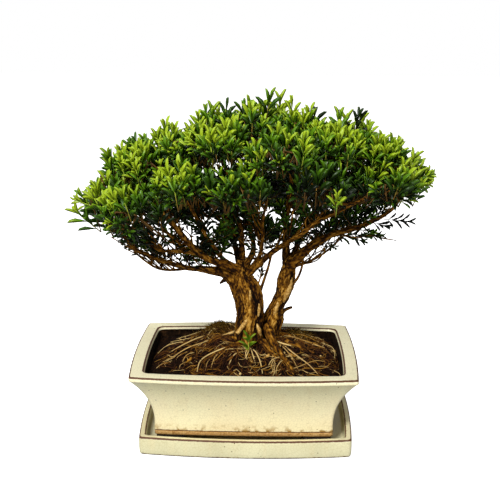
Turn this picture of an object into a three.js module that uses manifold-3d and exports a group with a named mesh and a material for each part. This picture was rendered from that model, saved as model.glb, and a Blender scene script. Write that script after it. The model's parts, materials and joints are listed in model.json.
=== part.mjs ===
// A boxwood bonsai: a twin-trunked tree with a wide, dense crown, in a glazed pot on its saucer.
// Millimetres, +Z up, +X to the right of the tree's front, +Y towards its back.
// The origin is on the table, under the centre of the pot.
import * as THREE from 'three';
import { mergeVertices } from 'three/addons/utils/BufferGeometryUtils.js';
import Module from 'manifold-3d';

const wasm = await Module();
wasm.setup();

// Driving dimensions

const clearance = 0.3;

const saucer = {
  halfWidth: 113.4,
  halfDepth: 83.2,
  shift: 2,
  height: 20.9,
  floor: 8,
  wall: 6.6,
  cornerRadius: 5,
  bow: { x: 3, y: 7 },
};

const pot = {
  halfWidth: 120,
  halfDepth: 90,
  top: 91,
  band: 5,
  lip: 13,
  neckInset: 1.8,
  footInset: 23.8,
  coveBottom: 30,
  underside: 16.5,
  floor: 25,
  edge: 0.8,
  bandUnder: 1.4,
  coveHeights: [44, 56, 67, 76.5],
  outerRadius: 4,
  innerRadius: 11,
  rimBow: { x: 3.5, y: 7 },
  footBow: { x: 1, y: 2 },
  insideBow: { x: 2, y: 4 },
  foot: { width: 30, depth: 26, inset: 2, overlap: 2 },
  drainRadius: 9,
  drainX: 50,
};

const soil = {
  edge: 83,
  peak: 107,
  centre: [6, 10],
  spread: [104, 76],
  moundPower: 1.25,
  lump: 1.1,
  lumpWidths: [7, 11, 6, 13],
  ringFractions: [0.88, 0.7, 0.5, 0.28, 0.13],
};

// The inside of the pot, from the floor up to the lip, as [inset from the rim's outline, height].
const potInside = [
  [31, pot.floor],
  [29, 42],
  [25, 57],
  [19.5, 70],
  [15.2, soil.edge],
  [14.5, 89.5],
  [pot.lip, pot.top],
];

const drainMesh = { side: 26, thickness: 1.2, hole: 6, offset: 5 };

// The crown's outline seen from the front, as [x, height].
const crownTop = [
  [-192, 268],
  [-166, 288],
  [-154, 326],
  [-120, 339],
  [-60, 363],
  [-20, 374],
  [28, 386],
  [56, 380],
  [80, 361],
  [105, 368],
  [146, 358],
  [172, 335],
  [190, 308],
  [206, 278],
];
const crownUnderFront = [
  [-192, 258],
  [-160, 236],
  [-110, 236],
  [-60, 250],
  [0, 268],
  [70, 268],
  [110, 256],
  [170, 256],
  [206, 268],
];
const crownUnderBack = [
  [-192, 254],
  [-150, 218],
  [-60, 214],
  [60, 216],
  [170, 236],
  [206, 262],
];
const crown = {
  left: -192,
  right: 206,
  halfDepth: 127,
  squareness: 2.7,
  heart: 235,
  flatness: 2.2,
  fork: [20, 0, 200],
};

const spray = {
  count: 34,
  candidates: 1500,
  reach: 34,
  rise: 30,
  core: 26,
  coreRise: 19,
  tips: 5,
  leavesPerTip: 3,
  tries: 4,
  spread: 1.45,
  rooted: 0.82,
  lift: 0.45,
  splay: [0.5, 0.85],
  unevenness: [0.82, 1.18],
  neighbourhood: 136,
};
const goldenAngle = 2.4;

const leaf = { length: 16, width: 5.8, thickness: 1.3, sunk: 3, sides: 4, bluntness: 0.3 };

const sprout = {
  base: [5, -28],
  depth: 8,
  height: 14,
  radii: [0.9, 0.9, 0.7],
  leaves: 6,
  firstLeaf: 4,
  leafLength: 10,
  leafWidth: 3.4,
  splay: [0.75, 0.35],
};

// Limbs seen in the tree, each from where it leaves its parent, as points on its centre line,
// radii spread evenly along it, and how finely it is cut.
const trunks = [
  {
    name: 'left trunk',
    path: [
      [9, 5, 64], [6, 2, 93], [4, 0, 110], [5, 0, 133], [4, 0, 147], [1, 0, 160], [-5, 0, 177],
      [-6, 0, 188],
    ],
    radii: [17, 20, 17, 15.2, 15.6, 15.2, 14.6, 10],
    sides: 9,
    steps: 7,
  },
  {
    name: 'right trunk',
    path: [
      [19, 9, 64], [24, 10, 90], [28, 10, 106], [31, 10, 125], [34, 10, 138], [40, 10, 152],
      [45, 10, 174], [48, 10, 192],
    ],
    radii: [13, 13, 11.5, 10, 12, 8, 8.6, 10.2, 7.5],
    sides: 8,
    steps: 8,
  },
];
const branches = [
  {
    name: 'low left limb',
    path: [
      [-4, -2, 182], [-22, -8, 191], [-42, -13, 200], [-56, -19, 212], [-73, -32, 237],
      [-93, -50, 266], [-102, -60, 284],
    ],
    radii: [6, 4.2, 3.8, 3.2, 2.4, 1.8],
    sides: 5,
    steps: 6,
  },
  {
    name: 'left fork',
    path: [[-48, -15, 205], [-75, -14, 208], [-93, -8, 207], [-108, 0, 214], [-120, 12, 232]],
    radii: [2.4, 2, 1.6, 1.3],
    sides: 4,
    steps: 5,
  },
  {
    name: 'dark left limb',
    path: [
      [-6, 4, 183], [-37, 10, 181], [-64, 15, 181], [-79, 20, 183], [-104, 24, 190],
      [-128, 27, 201], [-146, 30, 224],
    ],
    radii: [5, 3.2, 2.8, 2.4, 1.8],
    sides: 5,
    steps: 6,
  },
  {
    name: 'thin low left limb',
    path: [
      [-62, 15, 181], [-88, 38, 172], [-104, 53, 170], [-117, 64, 174], [-132, 72, 184],
      [-150, 76, 206],
    ],
    radii: [1.8, 1.3, 1.2, 1.1],
    sides: 4,
    steps: 6,
  },
  {
    name: 'left riser',
    path: [
      [-5, -3, 186], [-23, -9, 197], [-35, -17, 215], [-44, -28, 232], [-53, -44, 255],
      [-64, -60, 280],
    ],
    radii: [3, 2, 1.7, 1.3],
    sides: 4,
    steps: 5,
  },
  {
    name: 'dark riser',
    path: [
      [-3, 3, 186], [-5, 8, 210], [-7, 13, 232], [-14, 24, 243], [-32, 38, 252], [-53, 54, 257],
      [-72, 66, 272],
    ],
    radii: [4, 3, 2.4, 2, 1.5],
    sides: 4,
    steps: 6,
  },
  {
    name: 'inner riser',
    path: [[-1, 2, 186], [8, 7, 205], [6, 13, 221], [3, 18, 245], [-2, 12, 290], [2, 6, 330]],
    radii: [4, 2.4, 2, 1.8, 1.4],
    sides: 4,
    steps: 5,
  },
  {
    name: 'front riser',
    path: [[4, -3, 184], [15, -10, 203], [18, -20, 226], [18, -32, 246], [22, -58, 272]],
    radii: [3, 2, 1.6, 1.3],
    sides: 4,
    steps: 4,
  },
  {
    name: 'crossing limb',
    path: [
      [2, -3, 180], [28, -9, 206], [44, -17, 219], [60, -26, 232], [75, -37, 247], [98, -49, 262],
      [122, -62, 278],
    ],
    radii: [5, 3.2, 2.8, 2.5, 1.8, 1.4],
    sides: 5,
    steps: 5,
  },
  {
    name: 'low right limb',
    path: [
      [47, 9, 186], [67, 4, 207], [88, -1, 223], [108, -7, 231], [128, -11, 239], [154, -17, 256],
      [166, -20, 274],
    ],
    radii: [8, 5.4, 4.2, 3.4, 2.8, 2, 1.6],
    sides: 6,
    steps: 6,
  },
  {
    name: 'right riser',
    path: [[46, 12, 186], [44, 25, 206], [44, 35, 226], [48, 26, 270], [50, 12, 325]],
    radii: [6, 3.4, 2.8, 2.2, 1.6],
    sides: 4,
    steps: 5,
  },
  {
    name: 'thin right limb',
    path: [[50, 11, 184], [73, 28, 188], [88, 43, 193], [104, 60, 203], [124, 70, 232]],
    radii: [1.9, 1.4, 1.3, 1.1],
    sides: 4,
    steps: 5,
  },
  {
    name: 'right leader',
    path: [[75, -37, 247], [96, -30, 280], [112, -14, 318]],
    radii: [2.2, 1.8, 1.4],
    sides: 4,
    steps: 3,
  },
  {
    name: 'left leader',
    path: [[-79, -39, 244], [-88, -24, 280], [-98, -6, 305]],
    radii: [2.2, 1.8, 1.4],
    sides: 4,
    steps: 3,
  },
  {
    name: 'back left limb',
    path: [[-5, 6, 182], [-14, 36, 206], [-24, 66, 232], [-30, 88, 262]],
    radii: [5, 3, 2.4, 1.8],
    sides: 4,
    steps: 4,
  },
  {
    name: 'back right limb',
    path: [[48, 14, 184], [60, 42, 208], [76, 68, 232], [86, 84, 264]],
    radii: [5, 3, 2.4, 1.8],
    sides: 4,
    steps: 4,
  },
];
const stubs = [
  {
    name: 'broken twig',
    path: [[41, 10, 132], [45, 6, 137], [51, 1, 141]],
    radii: [2.4, 2, 1.7],
    sides: 5,
    steps: 2,
  },
  {
    name: 'cut stub at the foot',
    path: [[6, -11, 136], [-1, -17, 127], [-9, -21, 117]],
    radii: [2.6, 2.8, 2.8],
    sides: 6,
    steps: 2,
  },
  {
    name: 'thick right root',
    path: [[24, 2, 118], [30, -16, 108], [38, -34, 101], [48, -54, 94], [54, -64, 87]],
    radii: [6, 5, 3.8, 2.6, 1.8],
    sides: 5,
    steps: 4,
  },
];

const roots = {
  count: 8,
  centre: [12, 4],
  startRadius: 12,
  startHeight: 101,
  radii: [6.5, 3.6, 2.4, 1.6],
  reach: [74, 54],
  shortest: 0.75,
  jitter: 0.6,
  wander: 7,
  bends: 4,
  places: [0.42, 0.7, 1],
  sunk: [0.4, 0.2, 3.5],
};

const twig = {
  radii: [1.9, 1.5, 1.2],
  sides: 3,
  steps: 2,
  sag: 0.12,
  climb: 12,
  dropCost: 1.5,
  bareBuds: 3,
};

const colours = {
  glaze: 0xe6dcb2,
  mesh: 0x2b2b2b,
  soil: 0x2c2117,
  bark: 0x8a6534,
  leaf: 0x4f8a24,
  youngLeaf: 0x86b52c,
};

// Helpers

// Mulberry32, so that every run draws the same numbers.
function makeRandom(seed) {
  let state = seed;
  return () => {
    state = (state + 0x6d2b79f5) | 0;
    let t = Math.imul(state ^ (state >>> 15), 1 | state);
    t = (t + Math.imul(t ^ (t >>> 7), 61 | t)) ^ t;
    return ((t ^ (t >>> 14)) >>> 0) / 4294967296;
  };
}

function interpolate(points, x) {
  let i = 1;
  while (i < points.length - 1 && x > points[i][0]) {
    i += 1;
  }
  const [x0, y0] = points[i - 1];
  const [x1, y1] = points[i];
  return y0 + ((y1 - y0) * (x - x0)) / (x1 - x0);
}

function solidOf(geometry) {
  geometry.deleteAttribute('normal');
  geometry.deleteAttribute('uv');
  const merged = mergeVertices(geometry, 1e-4);
  const mesh = new wasm.Mesh({
    numProp: 3,
    vertProperties: new Float32Array(merged.attributes.position.array),
    triVerts: new Uint32Array(merged.index.array),
  });
  return new wasm.Manifold(mesh);
}

function largestBody(solid) {
  return solid.decompose().reduce((a, b) => (a.volume() > b.volume() ? a : b));
}

function meshOf(name, solid, material) {
  const { vertProperties, triVerts } = solid.getMesh();
  const geometry = new THREE.BufferGeometry();
  geometry.setAttribute('position', new THREE.BufferAttribute(vertProperties, 3));
  geometry.setIndex(new THREE.BufferAttribute(triVerts, 1));
  geometry.computeVertexNormals();
  const mesh = new THREE.Mesh(geometry, material);
  mesh.name = name;
  return mesh;
}

function block(sizeX, sizeY, sizeZ, centre) {
  return solidOf(new THREE.BoxGeometry(sizeX, sizeY, sizeZ).translate(...centre));
}

// A rectangle with rounded corners whose sides bow out, as a ring of points at one height.
function ring(halfX, halfY, radius, bow, height, shiftX = 0) {
  const outline = new THREE.Shape();
  outline.moveTo(-halfX + radius, -halfY);
  outline.quadraticCurveTo(0, -halfY - 2 * bow.y, halfX - radius, -halfY);
  outline.quadraticCurveTo(halfX, -halfY, halfX, -halfY + radius);
  outline.quadraticCurveTo(halfX + 2 * bow.x, 0, halfX, halfY - radius);
  outline.quadraticCurveTo(halfX, halfY, halfX - radius, halfY);
  outline.quadraticCurveTo(0, halfY + 2 * bow.y, -halfX + radius, halfY);
  outline.quadraticCurveTo(-halfX, halfY, -halfX, halfY - radius);
  outline.quadraticCurveTo(-halfX - 2 * bow.x, 0, -halfX, -halfY + radius);
  outline.quadraticCurveTo(-halfX, -halfY, -halfX + radius, -halfY);
  const points = outline.getPoints(3);
  points.pop();
  return points.map((p) => new THREE.Vector3(p.x + shiftX, p.y, height));
}

// A closed solid through rings of equally many points, with a fan over the first and the last.
function loft(rings) {
  const count = rings[0].length;
  const points = rings.flat();
  const index = [];
  for (let r = 0; r < rings.length - 1; r += 1) {
    for (let i = 0; i < count; i += 1) {
      const a = r * count + i;
      const b = r * count + ((i + 1) % count);
      index.push(a, b, b + count, a, b + count, a + count);
    }
  }
  const middle = (list) => {
    const sum = list.reduce((total, p) => total.add(p), new THREE.Vector3());
    return sum.divideScalar(count);
  };
  points.push(middle(rings[0]), middle(rings[rings.length - 1]));
  const last = (rings.length - 1) * count;
  for (let i = 0; i < count; i += 1) {
    const next = (i + 1) % count;
    index.push(next, i, points.length - 2);
    index.push(last + i, last + next, points.length - 1);
  }
  const geometry = new THREE.BufferGeometry().setFromPoints(points);
  geometry.setIndex(index);
  return solidOf(geometry);
}

// Ceramic

function saucerSolid() {
  const profile = [
    [4, 0],
    [1.5, 1],
    [0.4, 3.6],
    [0, 8],
    [0, saucer.height - 1],
    [1, saucer.height],
    [saucer.wall - 1.2, saucer.height],
    [saucer.wall, saucer.height - 1.2],
    [saucer.wall + 0.8, saucer.floor + 2.2],
    [saucer.wall + 3, saucer.floor],
  ];
  const rings = profile.map(([inset, height]) =>
    ring(
      saucer.halfWidth - inset,
      saucer.halfDepth - inset,
      saucer.cornerRadius,
      saucer.bow,
      height,
      saucer.shift,
    ),
  );
  return loft(rings);
}

// The bow of the pot's sides fades from the rim to the foot.
function outsideRing([inset, height]) {
  const t = (height - pot.underside) / (pot.top - pot.underside);
  const bow = {
    x: THREE.MathUtils.lerp(pot.footBow.x, pot.rimBow.x, t),
    y: THREE.MathUtils.lerp(pot.footBow.y, pot.rimBow.y, t),
  };
  return ring(pot.halfWidth - inset, pot.halfDepth - inset, pot.outerRadius, bow, height);
}

// The inside keeps one bow; fit draws what fills it in by that much.
function insideRing([inset, height], fit = 0) {
  const [halfX, halfY] = [pot.halfWidth - inset - fit, pot.halfDepth - inset - fit];
  return ring(halfX, halfY, pot.innerRadius - fit, pot.insideBow, height);
}

// Below the rim band the wall sweeps in as a cove, a parabola that ends upright at the foot.
function coveInset(height) {
  const t = (height - pot.coveBottom) / (pot.top - pot.band - pot.bandUnder - pot.coveBottom);
  return pot.footInset - (pot.footInset - pot.neckInset) * t * t;
}

function potSolid() {
  const { edge, underside } = pot;
  const bandBottom = pot.top - pot.band;
  const outside = [
    [pot.footInset + edge, underside],
    [pot.footInset, underside + edge],
    [pot.footInset, pot.coveBottom],
  ];
  for (const height of [...pot.coveHeights, bandBottom - pot.bandUnder]) {
    outside.push([coveInset(height), height]);
  }
  outside.push([0.2, bandBottom], [0, pot.top - edge], [edge, pot.top]);
  const inside = potInside.toReversed().map((p) => insideRing(p));
  let body = loft([...outside.map(outsideRing), ...inside]);

  const footX = pot.halfWidth - pot.footInset - pot.foot.inset - pot.foot.width / 2;
  const footY = pot.halfDepth - pot.footInset - pot.foot.inset - pot.foot.depth / 2;
  const footBottom = saucer.floor + clearance;
  const footTop = underside + pot.foot.overlap;
  for (const sideX of [-1, 1]) {
    for (const sideY of [-1, 1]) {
      const centre = [sideX * footX, sideY * footY, (footBottom + footTop) / 2];
      body = body.add(block(pot.foot.width, pot.foot.depth, footTop - footBottom, centre));
    }
    const hole = new THREE.CylinderGeometry(pot.drainRadius, pot.drainRadius, 2 * pot.floor, 14);
    hole.rotateX(Math.PI / 2).translate(sideX * pot.drainX, 0, pot.floor);
    body = body.subtract(solidOf(hole));
  }
  return body;
}

// A square of plastic mesh lies over each drainage hole and keeps the soil in.
function drainMeshSolid(centreX) {
  const height = pot.floor + clearance + drainMesh.thickness / 2;
  let sheet = block(drainMesh.side, drainMesh.side, drainMesh.thickness, [centreX, 0, height]);
  for (const i of [-1, 1]) {
    for (const j of [-1, 1]) {
      const centre = [centreX + i * drainMesh.offset, j * drainMesh.offset, height];
      sheet = sheet.subtract(block(drainMesh.hole, drainMesh.hole, 2 * drainMesh.thickness, centre));
    }
  }
  return sheet;
}

// Soil

// The soil is low along the rim and mounds up round the foot of the tree.
function soilHeight(x, y) {
  const dx = (x - soil.centre[0]) / soil.spread[0];
  const dy = (y - soil.centre[1]) / soil.spread[1];
  const rise = Math.max(0, 1 - dx * dx - dy * dy) ** soil.moundPower;
  const [a, b, c, d] = soil.lumpWidths;
  const lumps = soil.lump * (Math.sin(x / a + y / b) + Math.sin(y / c - x / d));
  return soil.edge + (soil.peak - soil.edge) * rise + lumps * Math.min(1, 3 * rise);
}

function soilSolid(sockets) {
  const fit = clearance + 0.05;
  const sides = potInside.filter(([, height]) => height <= soil.edge);
  sides[0] = [sides[0][0], pot.floor + clearance];
  const rings = sides.map((p) => insideRing(p, fit));
  const edge = rings[rings.length - 1];
  for (const fraction of soil.ringFractions) {
    rings.push(
      edge.map((p) => {
        const x = p.x * fraction;
        const y = p.y * fraction;
        return new THREE.Vector3(x, y, soilHeight(x, y));
      }),
    );
  }
  let body = loft(rings);
  const pocket = drainMesh.side + 2 * clearance;
  for (const side of [-1, 1]) {
    const height = 2 * (drainMesh.thickness + 2 * clearance);
    body = body.subtract(block(pocket, pocket, height, [side * pot.drainX, 0, pot.floor]));
  }
  for (const socket of sockets) {
    body = body.subtract(socket);
  }
  return largestBody(body);
}

// Wood

function radiusAlong(radii, t) {
  const place = t * (radii.length - 1);
  const i = Math.min(Math.floor(place), radii.length - 2);
  return THREE.MathUtils.lerp(radii[i], radii[i + 1], place - i);
}

function limbCurve({ path }) {
  const points = path.map((p) => new THREE.Vector3(...p));
  return new THREE.CatmullRomCurve3(points, false, 'centripetal');
}

// A tapering round limb bent along its path; grow makes the hole that it stands in.
function limbSolid(limb, grow = 0) {
  const { radii, sides, steps } = limb;
  const curve = limbCurve(limb);
  const centres = curve.getSpacedPoints(steps);
  const { tangents, normals, binormals } = curve.computeFrenetFrames(steps);
  const geometry = new THREE.CylinderGeometry(1, 1, 1, sides, steps);
  const { position } = geometry.attributes;
  for (let i = 0; i < position.count; i += 1) {
    const t = position.getY(i) + 0.5;
    const step = Math.round(t * steps);
    const radius = radiusAlong(radii, t) + grow;
    const point = centres[step].clone();
    point.addScaledVector(binormals[step], position.getX(i) * radius);
    point.addScaledVector(normals[step], position.getZ(i) * radius);
    if (step === 0 || step === steps) {
      point.addScaledVector(tangents[step], step === 0 ? -grow : grow);
    }
    position.setXYZ(i, point.x, point.y, point.z);
  }
  return solidOf(geometry);
}

// Roots spread on all sides, lie half sunk in the soil and dive into it at their tips.
function rootLimbs() {
  const random = makeRandom(31);
  const list = [];
  for (let i = 0; i < roots.count; i += 1) {
    const angle = ((i + roots.jitter * random()) / roots.count) * 2 * Math.PI;
    const bend = (random() - 0.5) * 2 * roots.wander;
    const length = THREE.MathUtils.lerp(roots.shortest, 1, random());
    const along = [Math.cos(angle), Math.sin(angle)];
    const laid = roots.places.map((place, k) => {
      const t = place * length;
      const aside = bend * Math.sin(t * roots.bends);
      const x = roots.centre[0] + along[0] * roots.reach[0] * t - along[1] * aside;
      const y = roots.centre[1] + along[1] * roots.reach[1] * t + along[0] * aside;
      return [x, y, soilHeight(x, y) - roots.sunk[k]];
    });
    const start = roots.centre.map((c, axis) => c + along[axis] * roots.startRadius);
    list.push({
      name: `root ${i + 1}`,
      path: [[...start, roots.startHeight], ...laid],
      radii: roots.radii,
      sides: 4,
      steps: 3,
    });
  }
  return list;
}

// Crown

function crownHalfDepth(x) {
  const middle = (crown.left + crown.right) / 2;
  const t = Math.abs(x - middle) / ((crown.right - crown.left) / 2);
  return crown.halfDepth * Math.max(0, 1 - t ** crown.squareness) ** (1 / crown.squareness);
}

// A place for a spray on the crown: along says how far right, around goes from the front's
// lower edge over the top to the back's.
function crownPlace(along, around) {
  const x = THREE.MathUtils.lerp(crown.left + spray.reach, crown.right - spray.reach, along);
  const angle = Math.PI * around;
  const depth = crownHalfDepth(x) - spray.reach;
  const under = interpolate(around < 0.5 ? crownUnderFront : crownUnderBack, x) + spray.rise;
  const top = interpolate(crownTop, x) - spray.rise;
  const power = 2 / crown.squareness;
  const y = -Math.sign(Math.cos(angle)) * depth * Math.abs(Math.cos(angle)) ** power;
  const z = under + Math.max(0, top - under) * Math.sin(angle) ** power;
  return new THREE.Vector3(x, y, z);
}

// Sprays are spread evenly: each new one takes the free place furthest from those before it.
function sprayCentres() {
  const random = makeRandom(7);
  const centres = [crownPlace(0, 0.3)];
  while (centres.length < spray.count) {
    let best = null;
    let bestDistance = -1;
    for (let i = 0; i < spray.candidates; i += 1) {
      const place = crownPlace(random(), random());
      const distance = Math.min(...centres.map((c) => c.distanceTo(place)));
      if (distance > bestDistance) {
        best = place;
        bestDistance = distance;
      }
    }
    centres.push(best);
  }
  return centres;
}

// Where twigs can leave a limb: the ends and the middles of its straight stretches, which lie
// in its wood.
function budsOn(limb) {
  const centres = limbCurve(limb).getSpacedPoints(limb.steps);
  const buds = [];
  for (let i = 1; i < centres.length; i += 1) {
    buds.push(centres[i - 1].clone().lerp(centres[i], 0.5), centres[i]);
  }
  return buds;
}

// Each spray hangs on a twig from the nearest wood below it, and later twigs may leave
// earlier ones.
function twigLimbs(centres) {
  const wood = branches.flatMap((limb) => budsOn(limb).slice(twig.bareBuds));
  const fork = new THREE.Vector3(...crown.fork);
  const order = [...centres].sort((a, b) => a.distanceTo(fork) - b.distanceTo(fork));
  return order.map((centre, i) => {
    const drop = (p) => Math.max(0, p.z - centre.z + twig.climb);
    const cost = (p) => p.distanceTo(centre) + twig.dropCost * drop(p);
    const start = wood.reduce((a, b) => (cost(a) < cost(b) ? a : b));
    const middle = start.clone().lerp(centre, 0.5);
    middle.z -= twig.sag * start.distanceTo(centre);
    const limb = {
      name: `twig ${i + 1}`,
      path: [start.toArray(), middle.toArray(), centre.toArray()],
      radii: twig.radii,
      sides: twig.sides,
      steps: twig.steps,
    };
    wood.push(...budsOn(limb).slice(1, -1));
    return limb;
  });
}

// The plane halfway to each neighbour bounds a spray, so that no two sprays meet.
function cellWalls(centres, i) {
  const walls = [];
  centres.forEach((other, j) => {
    if (j === i || other.distanceTo(centres[i]) > spray.neighbourhood) {
      return;
    }
    const normal = other.clone().sub(centres[i]);
    const distance = normal.length() / 2 - clearance;
    walls.push({ normal: normal.normalize(), distance });
  });
  return walls;
}

const coreSize = new THREE.Vector3(spray.core, spray.core, spray.coreRise);

// Draws a point in towards the spray's centre until no wall is between them.
function heldInside(point, walls) {
  for (const { normal, distance } of walls) {
    const towards = point.dot(normal);
    if (towards > distance) {
      point.multiplyScalar(distance / towards);
    }
  }
  return point;
}

// The spray's dense middle: an uneven lump, flattened, and held inside its walls.
function coreSolid(centre, walls, random) {
  const geometry = new THREE.OctahedronGeometry(1, 1);
  const merged = mergeVertices(geometry.deleteAttribute('normal').deleteAttribute('uv'));
  const { position } = merged.attributes;
  for (let i = 0; i < position.count; i += 1) {
    const out = new THREE.Vector3().fromBufferAttribute(position, i).multiply(coreSize);
    out.multiplyScalar(THREE.MathUtils.lerp(...spray.unevenness, random()));
    heldInside(out, walls).add(centre);
    position.setXYZ(i, out.x, out.y, out.z);
  }
  return solidOf(merged);
}

// One leaf: a flat four-sided lens from its root at the origin along +X, widest past its middle.
function leafGeometry(length, width) {
  const geometry = new THREE.SphereGeometry(1, leaf.sides, 2).rotateX(Math.PI / 2);
  const pushed = (x) => x + 1 + leaf.bluntness * (1 - x * x);
  const whole = pushed(1);
  const { position } = geometry.attributes;
  for (let i = 0; i < position.count; i += 1) {
    const along = pushed(position.getX(i)) / whole;
    const y = position.getY(i) * (width / 2);
    const z = position.getZ(i) * (leaf.thickness / 2);
    position.setXYZ(i, along * length, y, z);
  }
  return geometry;
}

// A leaf whose root is at a point, reaching along a direction, with its upper face towards inward.
function placedLeaf(root, direction, inward, length, width) {
  const across = new THREE.Vector3().crossVectors(inward, direction).normalize();
  const up = new THREE.Vector3().crossVectors(direction, across);
  const frame = new THREE.Matrix4().makeBasis(direction, across, up).setPosition(root);
  return leafGeometry(length, width).applyMatrix4(frame);
}

// A direction turned away from axis by tilt, at a turn round it.
function splayed(axis, tilt, turn) {
  const aside = new THREE.Vector3(axis.z, axis.x, -axis.y).cross(axis).normalize();
  return axis.clone().applyAxisAngle(aside, tilt).applyAxisAngle(axis, turn);
}

function isInside(geometry, centre, walls) {
  const { position } = geometry.attributes;
  const point = new THREE.Vector3();
  for (let i = 0; i < position.count; i += 1) {
    point.fromBufferAttribute(position, i).sub(centre);
    if (walls.some(({ normal, distance }) => point.dot(normal) > distance)) {
      return false;
    }
  }
  return true;
}

// Shoot tips stand out of the core on all sides, each with a whorl of leaves that opens upwards.
function spraySolid(centres, i, sockets) {
  const random = makeRandom(100 + i);
  const centre = centres[i];
  const walls = cellWalls(centres, i);
  const outward = new THREE.Vector3(
    centre.x / crown.flatness,
    centre.y,
    centre.z - crown.heart,
  ).normalize();
  let body = coreSolid(centre, walls, random);
  for (let k = 0; k < spray.tips; k += 1) {
    const tilt = Math.acos(1 - (spray.spread * (k + 0.2)) / spray.tips);
    const side = splayed(outward, tilt, k * goldenAngle + i);
    const axis = side.clone().add(new THREE.Vector3(0, 0, spray.lift)).normalize();
    const inCore = heldInside(side.clone().multiply(coreSize), walls).multiplyScalar(spray.rooted);
    const root = centre.clone().add(inCore).addScaledVector(axis, -leaf.sunk);
    for (let n = 0; n < spray.leavesPerTip; n += 1) {
      for (let tries = 0; tries < spray.tries; tries += 1) {
        const turn = (2 * Math.PI * (n + random())) / spray.leavesPerTip + k;
        const direction = splayed(axis, THREE.MathUtils.lerp(...spray.splay, random()), turn);
        const blade = placedLeaf(root, direction, axis, leaf.length + leaf.sunk, leaf.width);
        if (isInside(blade, centre, walls)) {
          body = body.add(solidOf(blade));
          break;
        }
      }
    }
  }
  for (const { solid, box } of sockets) {
    if (box.distanceToPoint(centre) < spray.reach + leaf.length) {
      body = body.subtract(solid);
    }
  }
  return largestBody(body);
}

// A young shoot stands at the foot of the left trunk.
function sproutParts() {
  const [x, y] = sprout.base;
  const ground = soilHeight(x, y);
  const stem = {
    path: [[x, y, ground - sprout.depth], [x, y, ground + 3], [x - 1, y - 2, ground + sprout.height]],
    radii: sprout.radii,
    sides: 5,
    steps: 3,
  };
  let body = limbSolid(stem);
  const upright = new THREE.Vector3(0, -0.2, 1).normalize();
  for (let k = 0; k < sprout.leaves; k += 1) {
    const t = k / (sprout.leaves - 1);
    const height = THREE.MathUtils.lerp(sprout.firstLeaf, sprout.height - 1, t);
    const root = new THREE.Vector3(x, y, ground + height);
    const direction = splayed(upright, THREE.MathUtils.lerp(...sprout.splay, t), k * goldenAngle);
    const blade = placedLeaf(root, direction, upright, sprout.leafLength, sprout.leafWidth);
    body = body.add(solidOf(blade));
  }
  return { body: largestBody(body), socket: limbSolid(stem, clearance + 0.1) };
}

// Assembly

const centres = sprayCentres();
const allLimbs = [...trunks, ...branches, ...stubs, ...rootLimbs(), ...twigLimbs(centres)];
const holeGrowth = 1.5 * clearance;
const sockets = allLimbs.map((limb) => {
  const solid = limbSolid(limb, holeGrowth);
  const { min, max } = solid.boundingBox();
  return { solid, box: new THREE.Box3(new THREE.Vector3(...min), new THREE.Vector3(...max)) };
});
const wood = largestBody(allLimbs.map((limb) => limbSolid(limb)).reduce((a, b) => a.add(b)));
const buried = sockets.filter(({ box }) => box.min.z < soil.peak + 4).map((socket) => socket.solid);
const youngShoot = sproutParts();

const glaze = new THREE.MeshStandardMaterial({ color: colours.glaze, roughness: 0.25 });
const plastic = new THREE.MeshStandardMaterial({ color: colours.mesh, roughness: 0.6 });
const earth = new THREE.MeshStandardMaterial({ color: colours.soil, roughness: 1 });
const bark = new THREE.MeshStandardMaterial({ color: colours.bark, roughness: 0.9 });
const foliage = new THREE.MeshStandardMaterial({ color: colours.leaf, roughness: 0.5 });
const youngFoliage = new THREE.MeshStandardMaterial({ color: colours.youngLeaf, roughness: 0.5 });

const bonsai = new THREE.Group();
bonsai.add(
  meshOf('saucer', saucerSolid(), glaze),
  meshOf('pot', potSolid(), glaze),
  meshOf('drainage_mesh_left', drainMeshSolid(-pot.drainX), plastic),
  meshOf('drainage_mesh_right', drainMeshSolid(pot.drainX), plastic),
  meshOf('soil', soilSolid([...buried, youngShoot.socket]), earth),
  meshOf('tree_wood', wood, bark),
  meshOf('basal_sprout', youngShoot.body, youngFoliage),
);
centres.forEach((centre, i) => {
  const name = `leafy_spray_${String(i + 1).padStart(2, '0')}`;
  bonsai.add(meshOf(name, spraySolid(centres, i, sockets), foliage));
});

export default bonsai;
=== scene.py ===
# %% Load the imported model
import json
import math
import random

import bmesh
import bpy
import numpy as np
from mathutils import Matrix, Vector, geometry, noise

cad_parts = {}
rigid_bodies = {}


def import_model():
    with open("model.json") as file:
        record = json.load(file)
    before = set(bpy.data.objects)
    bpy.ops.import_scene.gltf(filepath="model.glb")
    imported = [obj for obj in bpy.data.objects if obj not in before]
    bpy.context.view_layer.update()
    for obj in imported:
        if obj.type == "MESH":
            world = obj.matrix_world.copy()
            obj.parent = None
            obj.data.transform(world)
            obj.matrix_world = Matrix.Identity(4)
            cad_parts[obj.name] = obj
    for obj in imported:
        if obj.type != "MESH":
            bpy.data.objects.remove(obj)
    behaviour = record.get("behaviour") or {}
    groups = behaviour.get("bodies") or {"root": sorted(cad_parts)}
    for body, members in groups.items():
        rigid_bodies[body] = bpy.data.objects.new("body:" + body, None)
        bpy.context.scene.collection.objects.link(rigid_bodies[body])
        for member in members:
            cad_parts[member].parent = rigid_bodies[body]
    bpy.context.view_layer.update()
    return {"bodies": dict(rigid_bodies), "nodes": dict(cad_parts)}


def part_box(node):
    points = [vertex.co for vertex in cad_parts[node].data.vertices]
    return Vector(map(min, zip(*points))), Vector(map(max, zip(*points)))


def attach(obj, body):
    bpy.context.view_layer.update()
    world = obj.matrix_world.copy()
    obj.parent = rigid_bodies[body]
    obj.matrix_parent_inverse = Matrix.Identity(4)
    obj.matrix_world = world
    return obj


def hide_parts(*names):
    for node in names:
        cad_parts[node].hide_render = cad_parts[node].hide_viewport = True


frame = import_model()
MM = 0.001
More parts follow.
